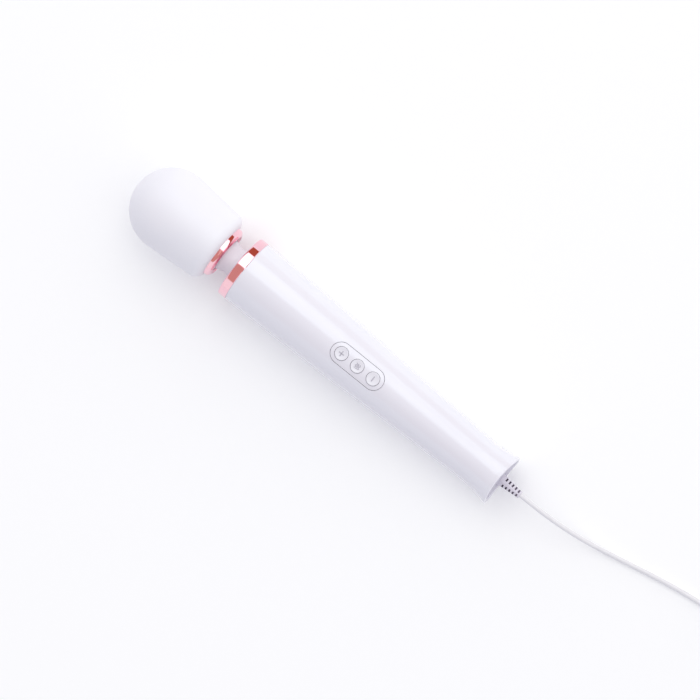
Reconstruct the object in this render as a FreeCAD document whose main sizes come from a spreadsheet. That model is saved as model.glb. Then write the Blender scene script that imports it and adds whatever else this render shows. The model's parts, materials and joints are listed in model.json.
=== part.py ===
import FreeCAD, Part
import math
import os
import re
import Sketcher
from FreeCAD import Placement, Rotation, Vector

# Handheld wand massager lying on a table: head towards -X, cord towards +X, keys up.
# Every sub-part of the wand is drawn along the wand's own axis, with x counted from the tip
# of the head, and gets one common placement that rests the wand on its head and its base rim.

doc = FreeCAD.newDocument("WandMassager")

SIZES = {
    # head
    "head_radius": 31.0, "head_length": 77.5, "head_taper": 4.56, "head_edge": 8.0,
    "cover_wall": 3.0, "core_wall": 2.2, "core_gap": 0.15, "lip": 2.0,
    "collar_length": 5.0, "collar_proud": 0.5, "collar_edge": 3.5, "collar_seat": 2.2,
    # bearings and drive shaft in the head
    "shaft_radius": 2.5, "bearing_outer": 8.0, "bearing_width": 5.0, "race_wall": 1.4,
    "inner_race_wall": 1.6, "ball_radius": 1.5, "ball_play": 0.03, "front_bearing": 13.0,
    "rear_bearing_back": 17.5, "boss_wall": 3.0, "weight_radius": 17.0, "weight_inset": 4.0,
    # flexible neck
    "neck_gap": 11.5, "neck_radius": 12.6, "neck_waist": 10.75, "neck_bore": 8.5,
    "neck_flange": 15.5, "flange_thick": 2.0, "neck_play": 0.5, "spring_radius": 7.3,
    "spring_wire": 0.8, "spring_pitch": 3.5, "hub_radius": 5.0, "spigot_radius": 3.2,
    "bellows_wall": 1.05, "bellows_wave": 1.1, "drive_bore": 6.2,
    # barrel
    "ring_width": 7.0, "ring_proud": 0.3, "ring_edge": 1.5, "ring_wall": 1.4, "ring_clear": 0.1,
    "barrel_length": 239.0, "barrel_radius": 24.7, "panel_end_radius": 22.65,
    "grip_radius": 20.75, "waist_radius": 17.95, "panel_front": 89.0, "grip_front": 132.0,
    "flare_length": 28.0, "flare_radius": 100.0, "shell_wall": 2.2, "rim_edge": 1.2,
    "rim_hollow": 1.2, "rib_width": 3.0, "rib_depth": 4.5, "inner_clear": 0.2,
    # motor
    "motor_radius": 17.9, "motor_length": 50.0, "motor_wall": 1.5, "motor_shaft": 1.59,
    "motor_set_back": 12.0, "nose_length": 6.4, "bush_radius": 6.4, "shaft_play": 0.03,
    "magnet_wall": 2.7, "rotor_gap": 0.4, "screw_circle": 12.5, "screw_radius": 1.45,
    "bell_length": 5.0,
    # keys and electronics
    "panel_centre": 107.0, "panel_length": 45.5, "panel_width": 16.0, "panel_gap": 0.35,
    "panel_wall": 1.8, "key_radius": 5.0, "key_gap": 0.2, "key_pitch": 14.5, "key_rise": 0.3,
    "key_travel": 0.6, "key_flange": 6.0, "key_dish": 14.0, "glyph_height": 0.25,
    "board_length": 60.0, "board_width": 26.0, "board_thick": 1.6, "board_top": 11.0,
    "switch_side": 6.0, "switch_height": 3.5, "membrane_thick": 1.0,
    # base, strain relief and cord
    "cap_thick": 3.2, "cap_inset": 0.8, "relief_radius": 4.5, "relief_tip": 2.6,
    "relief_length": 16.0, "cord_radius": 1.75, "cord_play": 0.03, "slot_pitch": 2.7,
    "slot_width": 1.1, "slot_chord": 2.4,
    # coil of the lead and wall adapter
    "coil_turn": 20.0, "coil_columns": 3.0, "coil_layers": 4.0, "tie_width": 7.0,
    "tie_thick": 0.8, "adapter_length": 58.0, "adapter_width": 38.0, "adapter_height": 27.0,
    "adapter_wall": 2.0, "blade_length": 17.0, "blade_width": 6.3, "blade_thick": 1.5,
    "blade_spacing": 12.7,
}

sheet = doc.addObject("Spreadsheet::Sheet", "Sizes")
for row, (alias, size) in enumerate(SIZES.items(), start=1):
    sheet.set(f"A{row}", alias)
    sheet.set(f"B{row}", str(size))
    sheet.setAlias(f"B{row}", alias)
doc.recompute()

CELL = re.compile(r"\b(" + "|".join(SIZES) + r")\b")


def bound(text):
    """An expression over the sheet's aliases, as FreeCAD reads it."""
    return CELL.sub(r"Sizes.\1", str(text))


def value(text):
    """The present value of such an expression."""
    return float(sheet.evalExpression(bound(text)))


# Places along the axis, counted from the tip of the head.
HEAD_END = "head_length"
COLLAR_END = "(head_length + collar_length)"
RING = f"({COLLAR_END} + neck_gap)"
BARREL = f"({RING} + ring_width)"
PANEL_END = f"({BARREL} + panel_front)"
GRIP = f"({BARREL} + grip_front)"
RIM = f"({BARREL} + barrel_length)"
WAIST = f"({RIM} - flare_length)"
PANEL = f"({BARREL} + panel_centre)"
NOSE = f"({RING} + ring_wall + flange_thick + ring_clear * 2)"
MOTOR = f"({RING} + motor_set_back)"
MOTOR_END = f"({MOTOR} + motor_length)"
REAR_BEARING = "(head_length - rear_bearing_back)"

SUB_PARTS = []


# ---- drawing helpers -------------------------------------------------------------------------
def keep(made, label, rides_on_wand=True):
    """Name an object as a sub-part."""
    made.Label = label
    SUB_PARTS.append((label, made, rides_on_wand))
    return made


def plane_of(body, role):
    return [f for f in body.Origin.OriginFeatures if f.Role == role][0]


def new_body(name):
    return doc.addObject("PartDesign::Body", name)


def new_sketch(body, role, loops, offset="0", turn=0.0):
    """A sketch of closed loops. A loop is a start point, then line ends (x, y) or arcs
    (middle x, middle y, end x, end y), every one an expression."""
    made = body.newObject("Sketcher::SketchObject", body.Name + "_sketch")
    made.AttachmentSupport = (plane_of(body, role), [""])
    made.MapMode = "FlatFace"
    if turn:
        made.AttachmentOffset = Placement(Vector(), Rotation(Vector(1, 0, 0), turn))
    if offset != "0":
        made.setExpression("AttachmentOffset.Base.z", bound(offset))
    for loop in loops:
        draw_loop(made, loop)
    doc.recompute()
    return made


def pin_point(made, geometry, vertex, point):
    for kind, text, axis in (("DistanceX", point[0], -2), ("DistanceY", point[1], -1)):
        if text == "0":
            made.addConstraint(Sketcher.Constraint("PointOnObject", geometry, vertex, axis))
            continue
        row = made.addConstraint(
            Sketcher.Constraint(kind, -1, 1, geometry, vertex, value(text)))
        made.setExpression(f"Constraints[{row}]", bound(text))


def add_arc(made, a, middle, b):
    """Add the arc from a by middle to b, anticlockwise as sketches keep it; also says which
    of its vertices is a and which is b."""
    clockwise = (middle - a).cross(b - middle).z < 0
    start, end = (b, a) if clockwise else (a, b)
    centre = Part.Arc(a, middle, b).toShape().Curve.Center
    circle = Part.Circle(centre, Vector(0, 0, 1), centre.distanceToPoint(a))
    angles = [math.atan2(p.y - centre.y, p.x - centre.x) for p in (start, end)]
    if angles[1] <= angles[0]:
        angles[1] += 2 * math.pi
    number = made.addGeometry(Part.ArcOfCircle(circle, *angles), False)
    return number, (2, 1) if clockwise else (1, 2)


def draw_loop(made, loop):
    start, first, last = loop[0], None, None
    here = start
    steps = list(loop[1:])
    if tuple(steps[-1][-2:]) != tuple(start):
        steps.append(start)
    for step in steps:
        a = Vector(value(here[0]), value(here[1]), 0)
        end = step[-2:]
        b = Vector(value(end[0]), value(end[1]), 0)
        if len(step) == 4:
            middle = Vector(value(step[0]), value(step[1]), 0)
            number, ends = add_arc(made, a, middle, b)
            mark = made.addGeometry(Part.Point(middle), True)
            pin_point(made, mark, 1, step[:2])
            made.addConstraint(Sketcher.Constraint("PointOnObject", mark, 1, number))
        else:
            number = made.addGeometry(Part.LineSegment(a, b), False)
            ends = (1, 2)
        if last is not None:
            made.addConstraint(Sketcher.Constraint("Coincident", *last, number, ends[0]))
        first = first or (number, ends[0])
        pin_point(made, number, ends[1], end)
        last = (number, ends[1])
        here = end
    made.addConstraint(Sketcher.Constraint("Coincident", *last, *first))


def revolve(body, loops, angle=360.0):
    """A solid of revolution about the wand's axis; under 360 degrees it is centred on the
    side the outline is drawn on."""
    made = body.newObject("PartDesign::Revolution", body.Name + "_turned")
    outline = new_sketch(body, "XZ_Plane", loops)
    made.Profile = outline
    made.ReferenceAxis = (outline, ["H_Axis"])
    made.Midplane = angle < 360.0
    made.Angle = angle
    doc.recompute()
    return made


def turned(label, *loops, angle=360.0):
    body = new_body(label)
    revolve(body, loops, angle)
    return keep(body, label)


def pocket(body, loops, role="XY_Plane", length=None, offset="0", reverse=False, turn=0.0):
    """Cut the loops' shape out of a body, through everything unless a length is given."""
    before = body.Shape.Volume
    made = body.newObject("PartDesign::Pocket", body.Name + "_pocket")
    made.Profile = new_sketch(body, role, loops, offset, turn)
    if length is None:
        made.Type = "ThroughAll"
        made.Midplane = not reverse
        made.Reversed = reverse
    else:
        made.setExpression("Length", bound(length))
        made.Reversed = reverse
    doc.recompute()
    if body.Shape.Volume >= before - 1e-6:
        raise RuntimeError(f"{body.Name}: the pocket cuts nothing")
    return made


def pattern(body, feature, count):
    made = body.newObject("PartDesign::PolarPattern", body.Name + "_pattern")
    made.Originals = [feature]
    made.Axis = (plane_of(body, "X_Axis"), [""])
    made.Angle = 360.0
    made.Occurrences = count
    body.Tip = made
    doc.recompute()
    return made


def box_loop(x0, y0, x1, y1):
    return [(x0, y0), (x1, y0), (x1, y1), (x0, y1)]


def stadium_loop(centre, length, width):
    """A slot outline along x about y = 0."""
    half = f"(({length}) / 2)"
    end = f"(({width}) / 2)"
    left, right = f"{centre} - {half} + {end}", f"{centre} + {half} - {end}"
    return [(left, f"0 - {end}"), (right, f"0 - {end}"),
            (f"{centre} + {half}", "0", right, end), (left, end),
            (f"{centre} - {half}", "0", left, f"0 - {end}")]


def solid(kind, name, at=("0", "0", "0"), turn=None, **sizes):
    """A Part primitive with bound sizes and place; turn is (axis, degrees)."""
    made = doc.addObject("Part::" + kind, name)
    for prop, text in sizes.items():
        made.setExpression(prop, bound(text))
    if turn:
        made.Placement = Placement(Vector(), Rotation(turn[0], turn[1]))
    for letter, text in zip("xyz", at):
        made.setExpression(f"Placement.Base.{letter}", bound(text))
    return made


def fuse(name, *pieces):
    made = doc.addObject("Part::MultiFuse", name)
    made.Shapes = list(pieces)
    return made


def group(name, *pieces):
    made = doc.addObject("Part::Compound", name)
    made.Links = list(pieces)
    return made


def cut(name, base, tool):
    made = doc.addObject("Part::Cut", name)
    made.Base, made.Tool = base, tool
    return made


ALONG_X = (Vector(0, 1, 0), 90)


# ---- head ------------------------------------------------------------------------------------
FOOT = "(head_length - head_edge)"
TAPER = "(head_taper * 1 deg)"
CONE_X = f"(head_radius + head_radius * sin({TAPER}))"
CONE_R = f"(head_radius * cos({TAPER}))"
FOOT_X = f"({FOOT} + head_edge * sin({TAPER}))"
FOOT_R = f"({CONE_R} - ({FOOT_X} - {CONE_X}) * tan({TAPER}))"
EDGE_R = f"({FOOT_R} - head_edge * cos({TAPER}))"


def dome(inset):
    """Start, middle and end of the dome's arc, inset from the head's outer surface."""
    radius = f"(head_radius - {inset})"
    end = (f"head_radius + {radius} * sin({TAPER})", f"{radius} * cos({TAPER})")
    slant = "((135 - head_taper / 2) * 1 deg)"
    middle = (f"head_radius + {radius} * cos({slant})", f"{radius} * sin({slant})")
    return (inset, "0"), middle, end


def foot(inset):
    """Start, middle and end of the rounded foot of the head."""
    radius = f"(head_edge - {inset})"
    slant = "((45 - head_taper / 2) * 1 deg)"
    start = (f"{FOOT} + {radius} * sin({TAPER})", f"{EDGE_R} + {radius} * cos({TAPER})")
    middle = (f"{FOOT} + {radius} * cos({slant})", f"{EDGE_R} + {radius} * sin({slant})")
    return start, middle, (f"{FOOT} + {radius}", EDGE_R)


def cone_radius(x, inset):
    """Radius of the head's tapering side at x."""
    return f"({CONE_R} - ({x} - {CONE_X}) * tan({TAPER}) - ({inset}) / cos({TAPER}))"


def head():
    cover_in = "cover_wall"
    core_out = "(cover_wall + core_gap)"
    core_in = "(cover_wall + core_gap + core_wall)"
    lip_radius = f"({EDGE_R} - lip)"

    tip, dome_mid, dome_end = dome("0")
    foot_start, foot_mid, foot_end = foot("0")
    tip_in, dome_mid_in, dome_end_in = dome(cover_in)
    foot_start_in, foot_mid_in, foot_end_in = foot(cover_in)
    turned("head_cover", [
        tip, dome_mid + dome_end, foot_start, foot_mid + foot_end,
        (HEAD_END, lip_radius), (foot_end_in[0], lip_radius), foot_end_in,
        foot_mid_in + foot_start_in, dome_end_in, dome_mid_in + tip_in])

    split = "(head_length - head_edge + 0.5)"
    boss = "(bearing_outer + boss_wall)"
    seat_end = "(front_bearing + bearing_width)"
    inner = f"(head_radius - {core_in})"
    boss_x = f"(head_radius - sqrt({inner} ^ 2 - {boss} ^ 2))"
    tip_core, dome_mid_core, dome_end_core = dome(core_out)
    _, dome_mid_wall, dome_end_wall = dome(core_in)
    turned("head_core", [
        tip_core, dome_mid_core + dome_end_core, (split, cone_radius(split, core_out)),
        (split, cone_radius(split, core_in)), dome_end_wall,
        dome_mid_wall + (boss_x, boss), (seat_end, boss), (seat_end, "bearing_outer"),
        ("front_bearing", "bearing_outer"), ("front_bearing", "bearing_outer - 3"),
        ("front_bearing - 2", "bearing_outer - 3"), ("front_bearing - 2", "0")])

    foot_start_core, foot_mid_core, foot_end_core = foot(core_out)
    rear_end = f"({REAR_BEARING} + bearing_width)"
    turned("head_core_base", [
        (REAR_BEARING, "bearing_outer"), (REAR_BEARING, boss), (split, boss),
        (split, cone_radius(split, core_out)), foot_start_core,
        foot_mid_core + foot_end_core, (foot_end_core[0], f"{lip_radius} - core_gap"),
        (HEAD_END, f"{lip_radius} - core_gap"), (HEAD_END, "drive_bore"),
        (rear_end, "drive_bore"), (rear_end, "bearing_outer")])

    collar_out = f"({EDGE_R} + collar_proud)"
    recess = "(neck_flange + neck_play)"
    bend = f"({collar_out} - collar_edge)"
    back = f"({COLLAR_END} - collar_edge)"
    turned("head_collar", [
        (HEAD_END, recess), (HEAD_END, collar_out), (back, collar_out),
        (f"{back} + collar_edge * cos(45 deg)", f"{bend} + collar_edge * sin(45 deg)",
         COLLAR_END, bend),
        (COLLAR_END, "neck_radius + neck_play"),
        ("head_length + collar_seat", "neck_radius + neck_play"),
        ("head_length + collar_seat", recess)])


def bearings():
    inner_top = "(shaft_radius + inner_race_wall)"
    outer_low = "(bearing_outer - race_wall)"
    pitch = f"(({inner_top} + {outer_low}) / 2)"
    groove = "(ball_radius + ball_play)"
    places = ("front_bearing", REAR_BEARING)

    outer_loops, inner_loops, ball_loops = [], [], []
    for place in places:
        middle = f"({place} + bearing_width / 2)"
        end = f"{place} + bearing_width"
        reach_out = f"sqrt({groove} ^ 2 - ({outer_low} - {pitch}) ^ 2)"
        reach_in = f"sqrt({groove} ^ 2 - ({pitch} - {inner_top}) ^ 2)"
        outer_loops.append([
            (place, "bearing_outer"), (end, "bearing_outer"), (end, outer_low),
            (f"{middle} + {reach_out}", outer_low),
            (middle, f"{pitch} + {groove}", f"{middle} - {reach_out}", outer_low),
            (place, outer_low)])
        inner_loops.append([
            (place, "shaft_radius"), (end, "shaft_radius"), (end, inner_top),
            (f"{middle} + {reach_in}", inner_top),
            (middle, f"{pitch} - {groove}", f"{middle} - {reach_in}", inner_top),
            (place, inner_top)])
        ball_loops.append([
            (f"{middle} - ball_radius", pitch),
            (middle, f"{pitch} + ball_radius", f"{middle} + ball_radius", pitch)])
    turned("outer_races", *outer_loops)
    turned("inner_races", *inner_loops)

    balls = []
    for number in range(14):
        place = places[number % 2]
        angle = (number // 2) * 360.0 / 7
        balls.append(solid("Sphere", f"ball_{number}", (
            f"{place} + bearing_width / 2", f"{pitch} * cos({angle} * 1 deg)",
            f"{pitch} * sin({angle} * 1 deg)"), Radius="ball_radius"))
    keep(group("bearing_balls", *balls), "bearing_balls")


def eccentric():
    shaft_end = "(head_length - 1)"
    hub = "(shaft_radius + 3.5)"
    front = "(front_bearing + bearing_width + weight_inset)"
    back = f"({REAR_BEARING} - weight_inset)"
    turned("eccentric_shaft", box_loop("front_bearing - 1", "0", shaft_end, "shaft_radius"))

    weight = new_body("eccentric_weight")
    revolve(weight, [box_loop(front, "shaft_radius", back, hub)])
    heavy = weight.newObject("PartDesign::Revolution", "weight_lobe")
    outline = new_sketch(weight, "XZ_Plane", [
        box_loop(front, "0 - weight_radius", back, "0 - shaft_radius - 1")])
    heavy.Profile = outline
    heavy.ReferenceAxis = (outline, ["H_Axis"])
    heavy.Midplane = True
    heavy.Angle = 170.0
    doc.recompute()
    middle = f"(({front} + {back}) / 2)"
    pocket(weight, [[(f"{middle} - screw_radius", "0"),
                     (middle, "screw_radius", f"{middle} + screw_radius", "0"),
                     (middle, "0 - screw_radius", f"{middle} - screw_radius", "0")]],
           reverse=True)
    keep(weight, "eccentric_weight")
    keep(group("weight_screw", solid("Cylinder", "grub", (middle, "0", "shaft_radius"),
                                     Radius="screw_radius - 0.03", Height="3.8")),
         "weight_screw")

    spigot_end = "(head_length + 2)"
    turned("coupling_hub_front", [
        ("head_length - 10.5", "shaft_radius"), ("head_length - 10.5", "hub_radius"),
        ("head_length - 1.5", "hub_radius"), ("head_length - 1.5", "spigot_radius"),
        (spigot_end, "spigot_radius"), (spigot_end, "0"), (shaft_end, "0"),
        (shaft_end, "shaft_radius")])


# ---- flexible neck ---------------------------------------------------------------------------
def neck():
    front = "(head_length + 0.1)"
    back = f"({NOSE} - 0.1)"
    middle = f"(({COLLAR_END} + {RING}) / 2)"
    turned("neck_sleeve", [
        (front, "neck_bore"), (front, "neck_flange"),
        (f"{front} + flange_thick", "neck_flange"), (f"{front} + flange_thick", "neck_radius"),
        (COLLAR_END, "neck_radius"),
        (middle, "neck_waist", f"{RING} - 0.5", "neck_radius"),
        (f"{back} - flange_thick", "neck_radius"), (f"{back} - flange_thick", "neck_flange"),
        (back, "neck_flange"), (back, "neck_bore")])

    spring = new_body("neck_spring")
    coil = spring.newObject("PartDesign::AdditiveHelix", "neck_spring_coil")
    start = "(head_length + spring_wire + 0.2)"
    low, high = f"{start} - spring_wire", f"{start} + spring_wire"
    section = new_sketch(spring, "XZ_Plane", [[
        (low, "spring_radius"), (start, "spring_radius + spring_wire", high, "spring_radius"),
        (start, "spring_radius - spring_wire", low, "spring_radius")]])
    coil.Profile = section
    coil.ReferenceAxis = (section, ["H_Axis"])
    coil.Mode = "pitch-height-angle"
    coil.setExpression("Pitch", bound("spring_pitch"))
    coil.setExpression("Height", bound(f"{NOSE} - head_length - spring_wire * 2 - 0.4"))
    doc.recompute()
    keep(spring, "neck_spring")

    waves = 5
    sleeve = "(spigot_radius + 0.05)"
    outer = f"({sleeve} + bellows_wall)"
    first = "(head_length + 2)"
    last = f"({NOSE} - 3.1)"
    step = f"(({last} - {first}) / {waves})"
    loop = [("head_length - 1.4", sleeve), ("head_length - 1.4", outer), (first, outer)]
    for number in range(waves):
        loop.append((f"{first} + {step} * {number + 0.5}", f"{outer} + bellows_wave",
                     f"{first} + {step} * {number + 1}", outer))
    loop += [(f"{NOSE} + 0.3", outer), (f"{NOSE} + 0.3", sleeve), (last, sleeve)]
    for number in reversed(range(waves)):
        loop.append((f"{first} + {step} * {number + 0.5}", f"{sleeve} + bellows_wave",
                     f"{first} + {step} * {number}", sleeve))
    turned("drive_bellows", loop)

    turned("coupling_hub_rear", [
        (f"{NOSE} + 6", "motor_shaft"), (f"{NOSE} + 6", "hub_radius"),
        (f"{NOSE} + 0.4", "hub_radius"), (f"{NOSE} + 0.4", "spigot_radius"),
        (last, "spigot_radius"), (last, "0"), (f"{NOSE} + 0.4", "0"),
        (f"{NOSE} + 0.4", "motor_shaft")])


# ---- barrel ----------------------------------------------------------------------------------
SLOPE = "((grip_radius - waist_radius) / (barrel_length - grip_front - flare_length))"
FLARE_X = f"({WAIST} + flare_radius * sin(atan({SLOPE})))"
FLARE_R = f"(waist_radius + flare_radius * cos(atan({SLOPE})))"


def flare(x, inset="0"):
    """Radius of the flared end at x."""
    return f"({FLARE_R} - sqrt((flare_radius + {inset}) ^ 2 - ({x} - {FLARE_X}) ^ 2))"


def front_radius(x):
    """Outer radius of the barrel between the ring and the key panel."""
    return f"(barrel_radius - ({x} - {BARREL}) * (barrel_radius - panel_end_radius) / panel_front)"


def panel_radius(x):
    """Outer radius of the barrel beside the keys."""
    return (f"(panel_end_radius - ({x} - {PANEL_END}) * (panel_end_radius - grip_radius)"
            " / (grip_front - panel_front))")


def rib(place, radius, depth):
    """Points of an inner rib, from its far side to its near side."""
    low = f"{radius} - shell_wall"
    return [(f"{place} + rib_width", low), (f"{place} + rib_width", f"{low} - {depth}"),
            (place, f"{low} - {depth}"), (place, low)]


def shell_loop():
    rim_wall = f"{flare(RIM, 'shell_wall')}"
    mid = f"(({WAIST} + {RIM}) / 2)"
    corner = f"({RIM} - rim_edge)"
    rib_front = f"({PANEL} - board_length / 2 - inner_clear - rib_width)"
    rib_back = f"({PANEL} + board_length / 2 + inner_clear)"
    grip_at_rib = f"(grip_radius - ({rib_back} - {GRIP}) * {SLOPE})"
    front_at_rib = front_radius(rib_front)
    return [
        (BARREL, "barrel_radius"), (PANEL_END, "panel_end_radius"), (GRIP, "grip_radius"),
        (WAIST, "waist_radius"), (mid, flare(mid), corner, flare(corner)),
        (RIM, f"{flare(RIM)} - rim_edge"), (RIM, rim_wall),
        (mid, flare(mid, "shell_wall"), WAIST, "waist_radius - shell_wall"),
        *rib(rib_back, grip_at_rib, "rib_depth"),
        (GRIP, "grip_radius - shell_wall"), (PANEL_END, "panel_end_radius - shell_wall"),
        *rib(rib_front, front_at_rib, "rib_depth"), (BARREL, "barrel_radius - shell_wall")]


def hollow_end(body):
    """Cut the base end to the shallow hollow of its rim, seen from above and below."""
    reach = f"({flare(RIM)} + 6)"
    side = f"({RIM} + 3)"
    pocket(body, [[(side, f"0 - {reach}"), (f"{RIM} + rim_hollow * (({reach}) ^ 2 /"
                   f" {flare(RIM)} ^ 2 - 1)", f"0 - {reach}"),
                   (f"{RIM} - rim_hollow", "0", f"{RIM} + rim_hollow * (({reach}) ^ 2 /"
                    f" {flare(RIM)} ^ 2 - 1)", reach), (side, reach)]])


def barrel():
    ring_out = "(barrel_radius + ring_proud)"
    ring_in = "(barrel_radius - shell_wall + ring_clear)"
    turned("body_ring", [
        (RING, "neck_radius + neck_play + 0.3"), (RING, f"{ring_out} - ring_edge"),
        (f"{RING} + ring_edge * (1 - cos(45 deg))",
         f"{ring_out} - ring_edge * (1 - sin(45 deg))",
         f"{RING} + ring_edge", ring_out),
        (BARREL, ring_out), (BARREL, ring_in), (f"{RING} + ring_wall", ring_in),
        (f"{RING} + ring_wall", "neck_radius + neck_play + 0.3")])

    plate_out = "(barrel_radius - shell_wall - ring_clear * 2)"
    nose = new_body("nose_plate")
    revolve(nose, [[
        (NOSE, "drive_bore"), (NOSE, plate_out), (f"{NOSE} + nose_length - 3", plate_out),
        (f"{NOSE} + nose_length", f"{plate_out} - 0.4"),
        (f"{NOSE} + nose_length", "bush_radius + 1"), (f"{NOSE} + nose_length - 3",
                                                      "bush_radius + 1"),
        (f"{NOSE} + nose_length - 3", "drive_bore")]])
    for radius, depth in (("screw_radius", None), ("(screw_radius + 1.15)", "2")):
        place = NOSE if depth else "0"
        holes = pocket(nose, [[(f"0 - {radius}", "screw_circle"),
                               ("0", f"screw_circle + {radius}", radius, "screw_circle"),
                               ("0", f"screw_circle - {radius}", f"0 - {radius}",
                                "screw_circle")]],
                       "YZ_Plane", depth, place, reverse=depth is not None)
        pattern(nose, holes, 2)
    keep(nose, "nose_plate")

    screws = []
    for number, side in enumerate((1, -1)):
        height = f"screw_circle * {side}"
        head_part = solid("Cylinder", f"nose_screw_head_{number}", (NOSE, "0", height), ALONG_X,
                          Radius="screw_radius + 1.1", Height="1.9")
        shank = solid("Cylinder", f"nose_screw_shank_{number}", (NOSE, "0", height), ALONG_X,
                      Radius="screw_radius - 0.03",
                      Height=f"{MOTOR} + motor_wall + 1 - {NOSE}")
        screws.append(fuse(f"nose_screw_{number}", head_part, shank))
    keep(group("nose_screws", *screws), "nose_screws")

    opening = stadium_loop(PANEL, "panel_length + panel_gap * 2", "panel_width + panel_gap * 2")
    for label in ("top_shell", "bottom_shell"):
        shell = new_body(label)
        revolve(shell, [shell_loop()], 180.0)
        hollow_end(shell)
        if label == "top_shell":
            pocket(shell, [opening], reverse=True)
        keep(shell, label)


# ---- motor -----------------------------------------------------------------------------------
def ring_of_screw_holes(body):
    holes = pocket(body, [[("0 - screw_radius", "screw_circle"),
                           ("0", "screw_circle + screw_radius", "screw_radius", "screw_circle"),
                           ("0", "screw_circle - screw_radius", "0 - screw_radius",
                            "screw_circle")]], "YZ_Plane")
    pattern(body, holes, 2)


def motor():
    inside = "(motor_radius - motor_wall)"
    can = new_body("motor_can")
    revolve(can, [[
        (MOTOR, "bush_radius"), (MOTOR, "motor_radius"), (MOTOR_END, "motor_radius"),
        (MOTOR_END, inside), (f"{MOTOR} + motor_wall", inside),
        (f"{MOTOR} + motor_wall", "bush_radius")]])
    ring_of_screw_holes(can)
    keep(can, "motor_can")

    washer = new_body("motor_mount_front")
    revolve(washer, [box_loop(f"{NOSE} + nose_length", "bush_radius + 1.2",
                              MOTOR, f"{front_radius(MOTOR)} - shell_wall - inner_clear * 4")])
    ring_of_screw_holes(washer)
    keep(washer, "motor_mount_front")

    band = f"({MOTOR_END} - 8)"
    band_end = f"({MOTOR_END} - 1)"
    turned("motor_mount_rear", [
        (band, "motor_radius"),
        (band, f"{front_radius(band)} - shell_wall - inner_clear"),
        (band_end, f"{front_radius(band_end)} - shell_wall - inner_clear"),
        (band_end, "motor_radius")])

    bell_end = f"({MOTOR_END} + bell_length)"
    turned("motor_end_bell", [
        (MOTOR_END, "bush_radius"), (MOTOR_END, "motor_radius - 0.5"),
        (f"{MOTOR_END} + 3", "motor_radius - 0.5"), (bell_end, "bush_radius + 3"),
        (bell_end, "bush_radius")])
    bore = "(motor_shaft + shaft_play)"
    turned("motor_bushes",
           box_loop(f"{MOTOR} - 1.8", bore, f"{MOTOR} + 3.5", "bush_radius"),
           box_loop(f"{MOTOR_END} - 0.5", bore, bell_end, "bush_radius"))

    magnet_low = f"({inside} - magnet_wall)"
    magnets = new_body("motor_magnets")
    arc = revolve(magnets, [box_loop(f"{MOTOR} + 6", magnet_low, f"{MOTOR_END} - 8",
                                     f"{inside} - 0.05")], 130.0)
    pattern(magnets, arc, 2)
    keep(magnets, "motor_magnets")

    turned("motor_shaft", box_loop(f"{NOSE} + 0.4", "0", f"{bell_end} + 1", "motor_shaft"))
    core_front, core_back = f"({MOTOR} + 10)", f"({MOTOR_END} - 12)"
    rotor = new_body("rotor_core")
    revolve(rotor, [box_loop(core_front, "motor_shaft", core_back, f"{magnet_low} - rotor_gap")])
    slots = pocket(rotor, [box_loop("0 - 1.2", "5", "1.2", "motor_radius")],
                   "YZ_Plane", f"{core_back} - {core_front} + 2", f"{core_front} - 1",
                   reverse=True)
    pattern(rotor, slots, 5)
    keep(rotor, "rotor_core")
    turned("rotor_windings", *[
        [(a, "motor_shaft"), (a, "9"), (f"({a} + {b}) / 2", "11", b, "9"), (b, "motor_shaft")]
        for a, b in ((f"({core_front} - 5)", core_front), (core_back, f"({core_back} + 4)"))])

    commutator = new_body("commutator")
    revolve(commutator, [box_loop(f"{core_back} + 4.2", "motor_shaft", f"{MOTOR_END} - 1",
                                  "4.2")])
    slits = pocket(commutator, [box_loop("0 - 0.2", "3.2", "0.2", "6")], "YZ_Plane",
                   "motor_length", f"{core_back} + 4", reverse=True)
    pattern(commutator, slits, 5)
    keep(commutator, "commutator")

    brushes = []
    for number, side in enumerate((0, 1)):
        y = "4.25" if side else "0 - 4.25 - 7"
        brushes.append(solid("Box", f"brush_{number}", (f"{core_back} + 5", y, "0 - 1.8"),
                             Length="4.5", Width="7", Height="3.6"))
    keep(group("motor_brushes", *brushes), "motor_brushes")


# ---- keys and electronics --------------------------------------------------------------------
BOARD_BACK = f"({PANEL} + board_length / 2)"
BOARD_FRONT = f"({PANEL} - board_length / 2)"
SWITCH_TOP = "(board_top + switch_height + 0.6)"
MEMBRANE_TOP = f"({SWITCH_TOP} + 0.1 + membrane_thick)"


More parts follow.
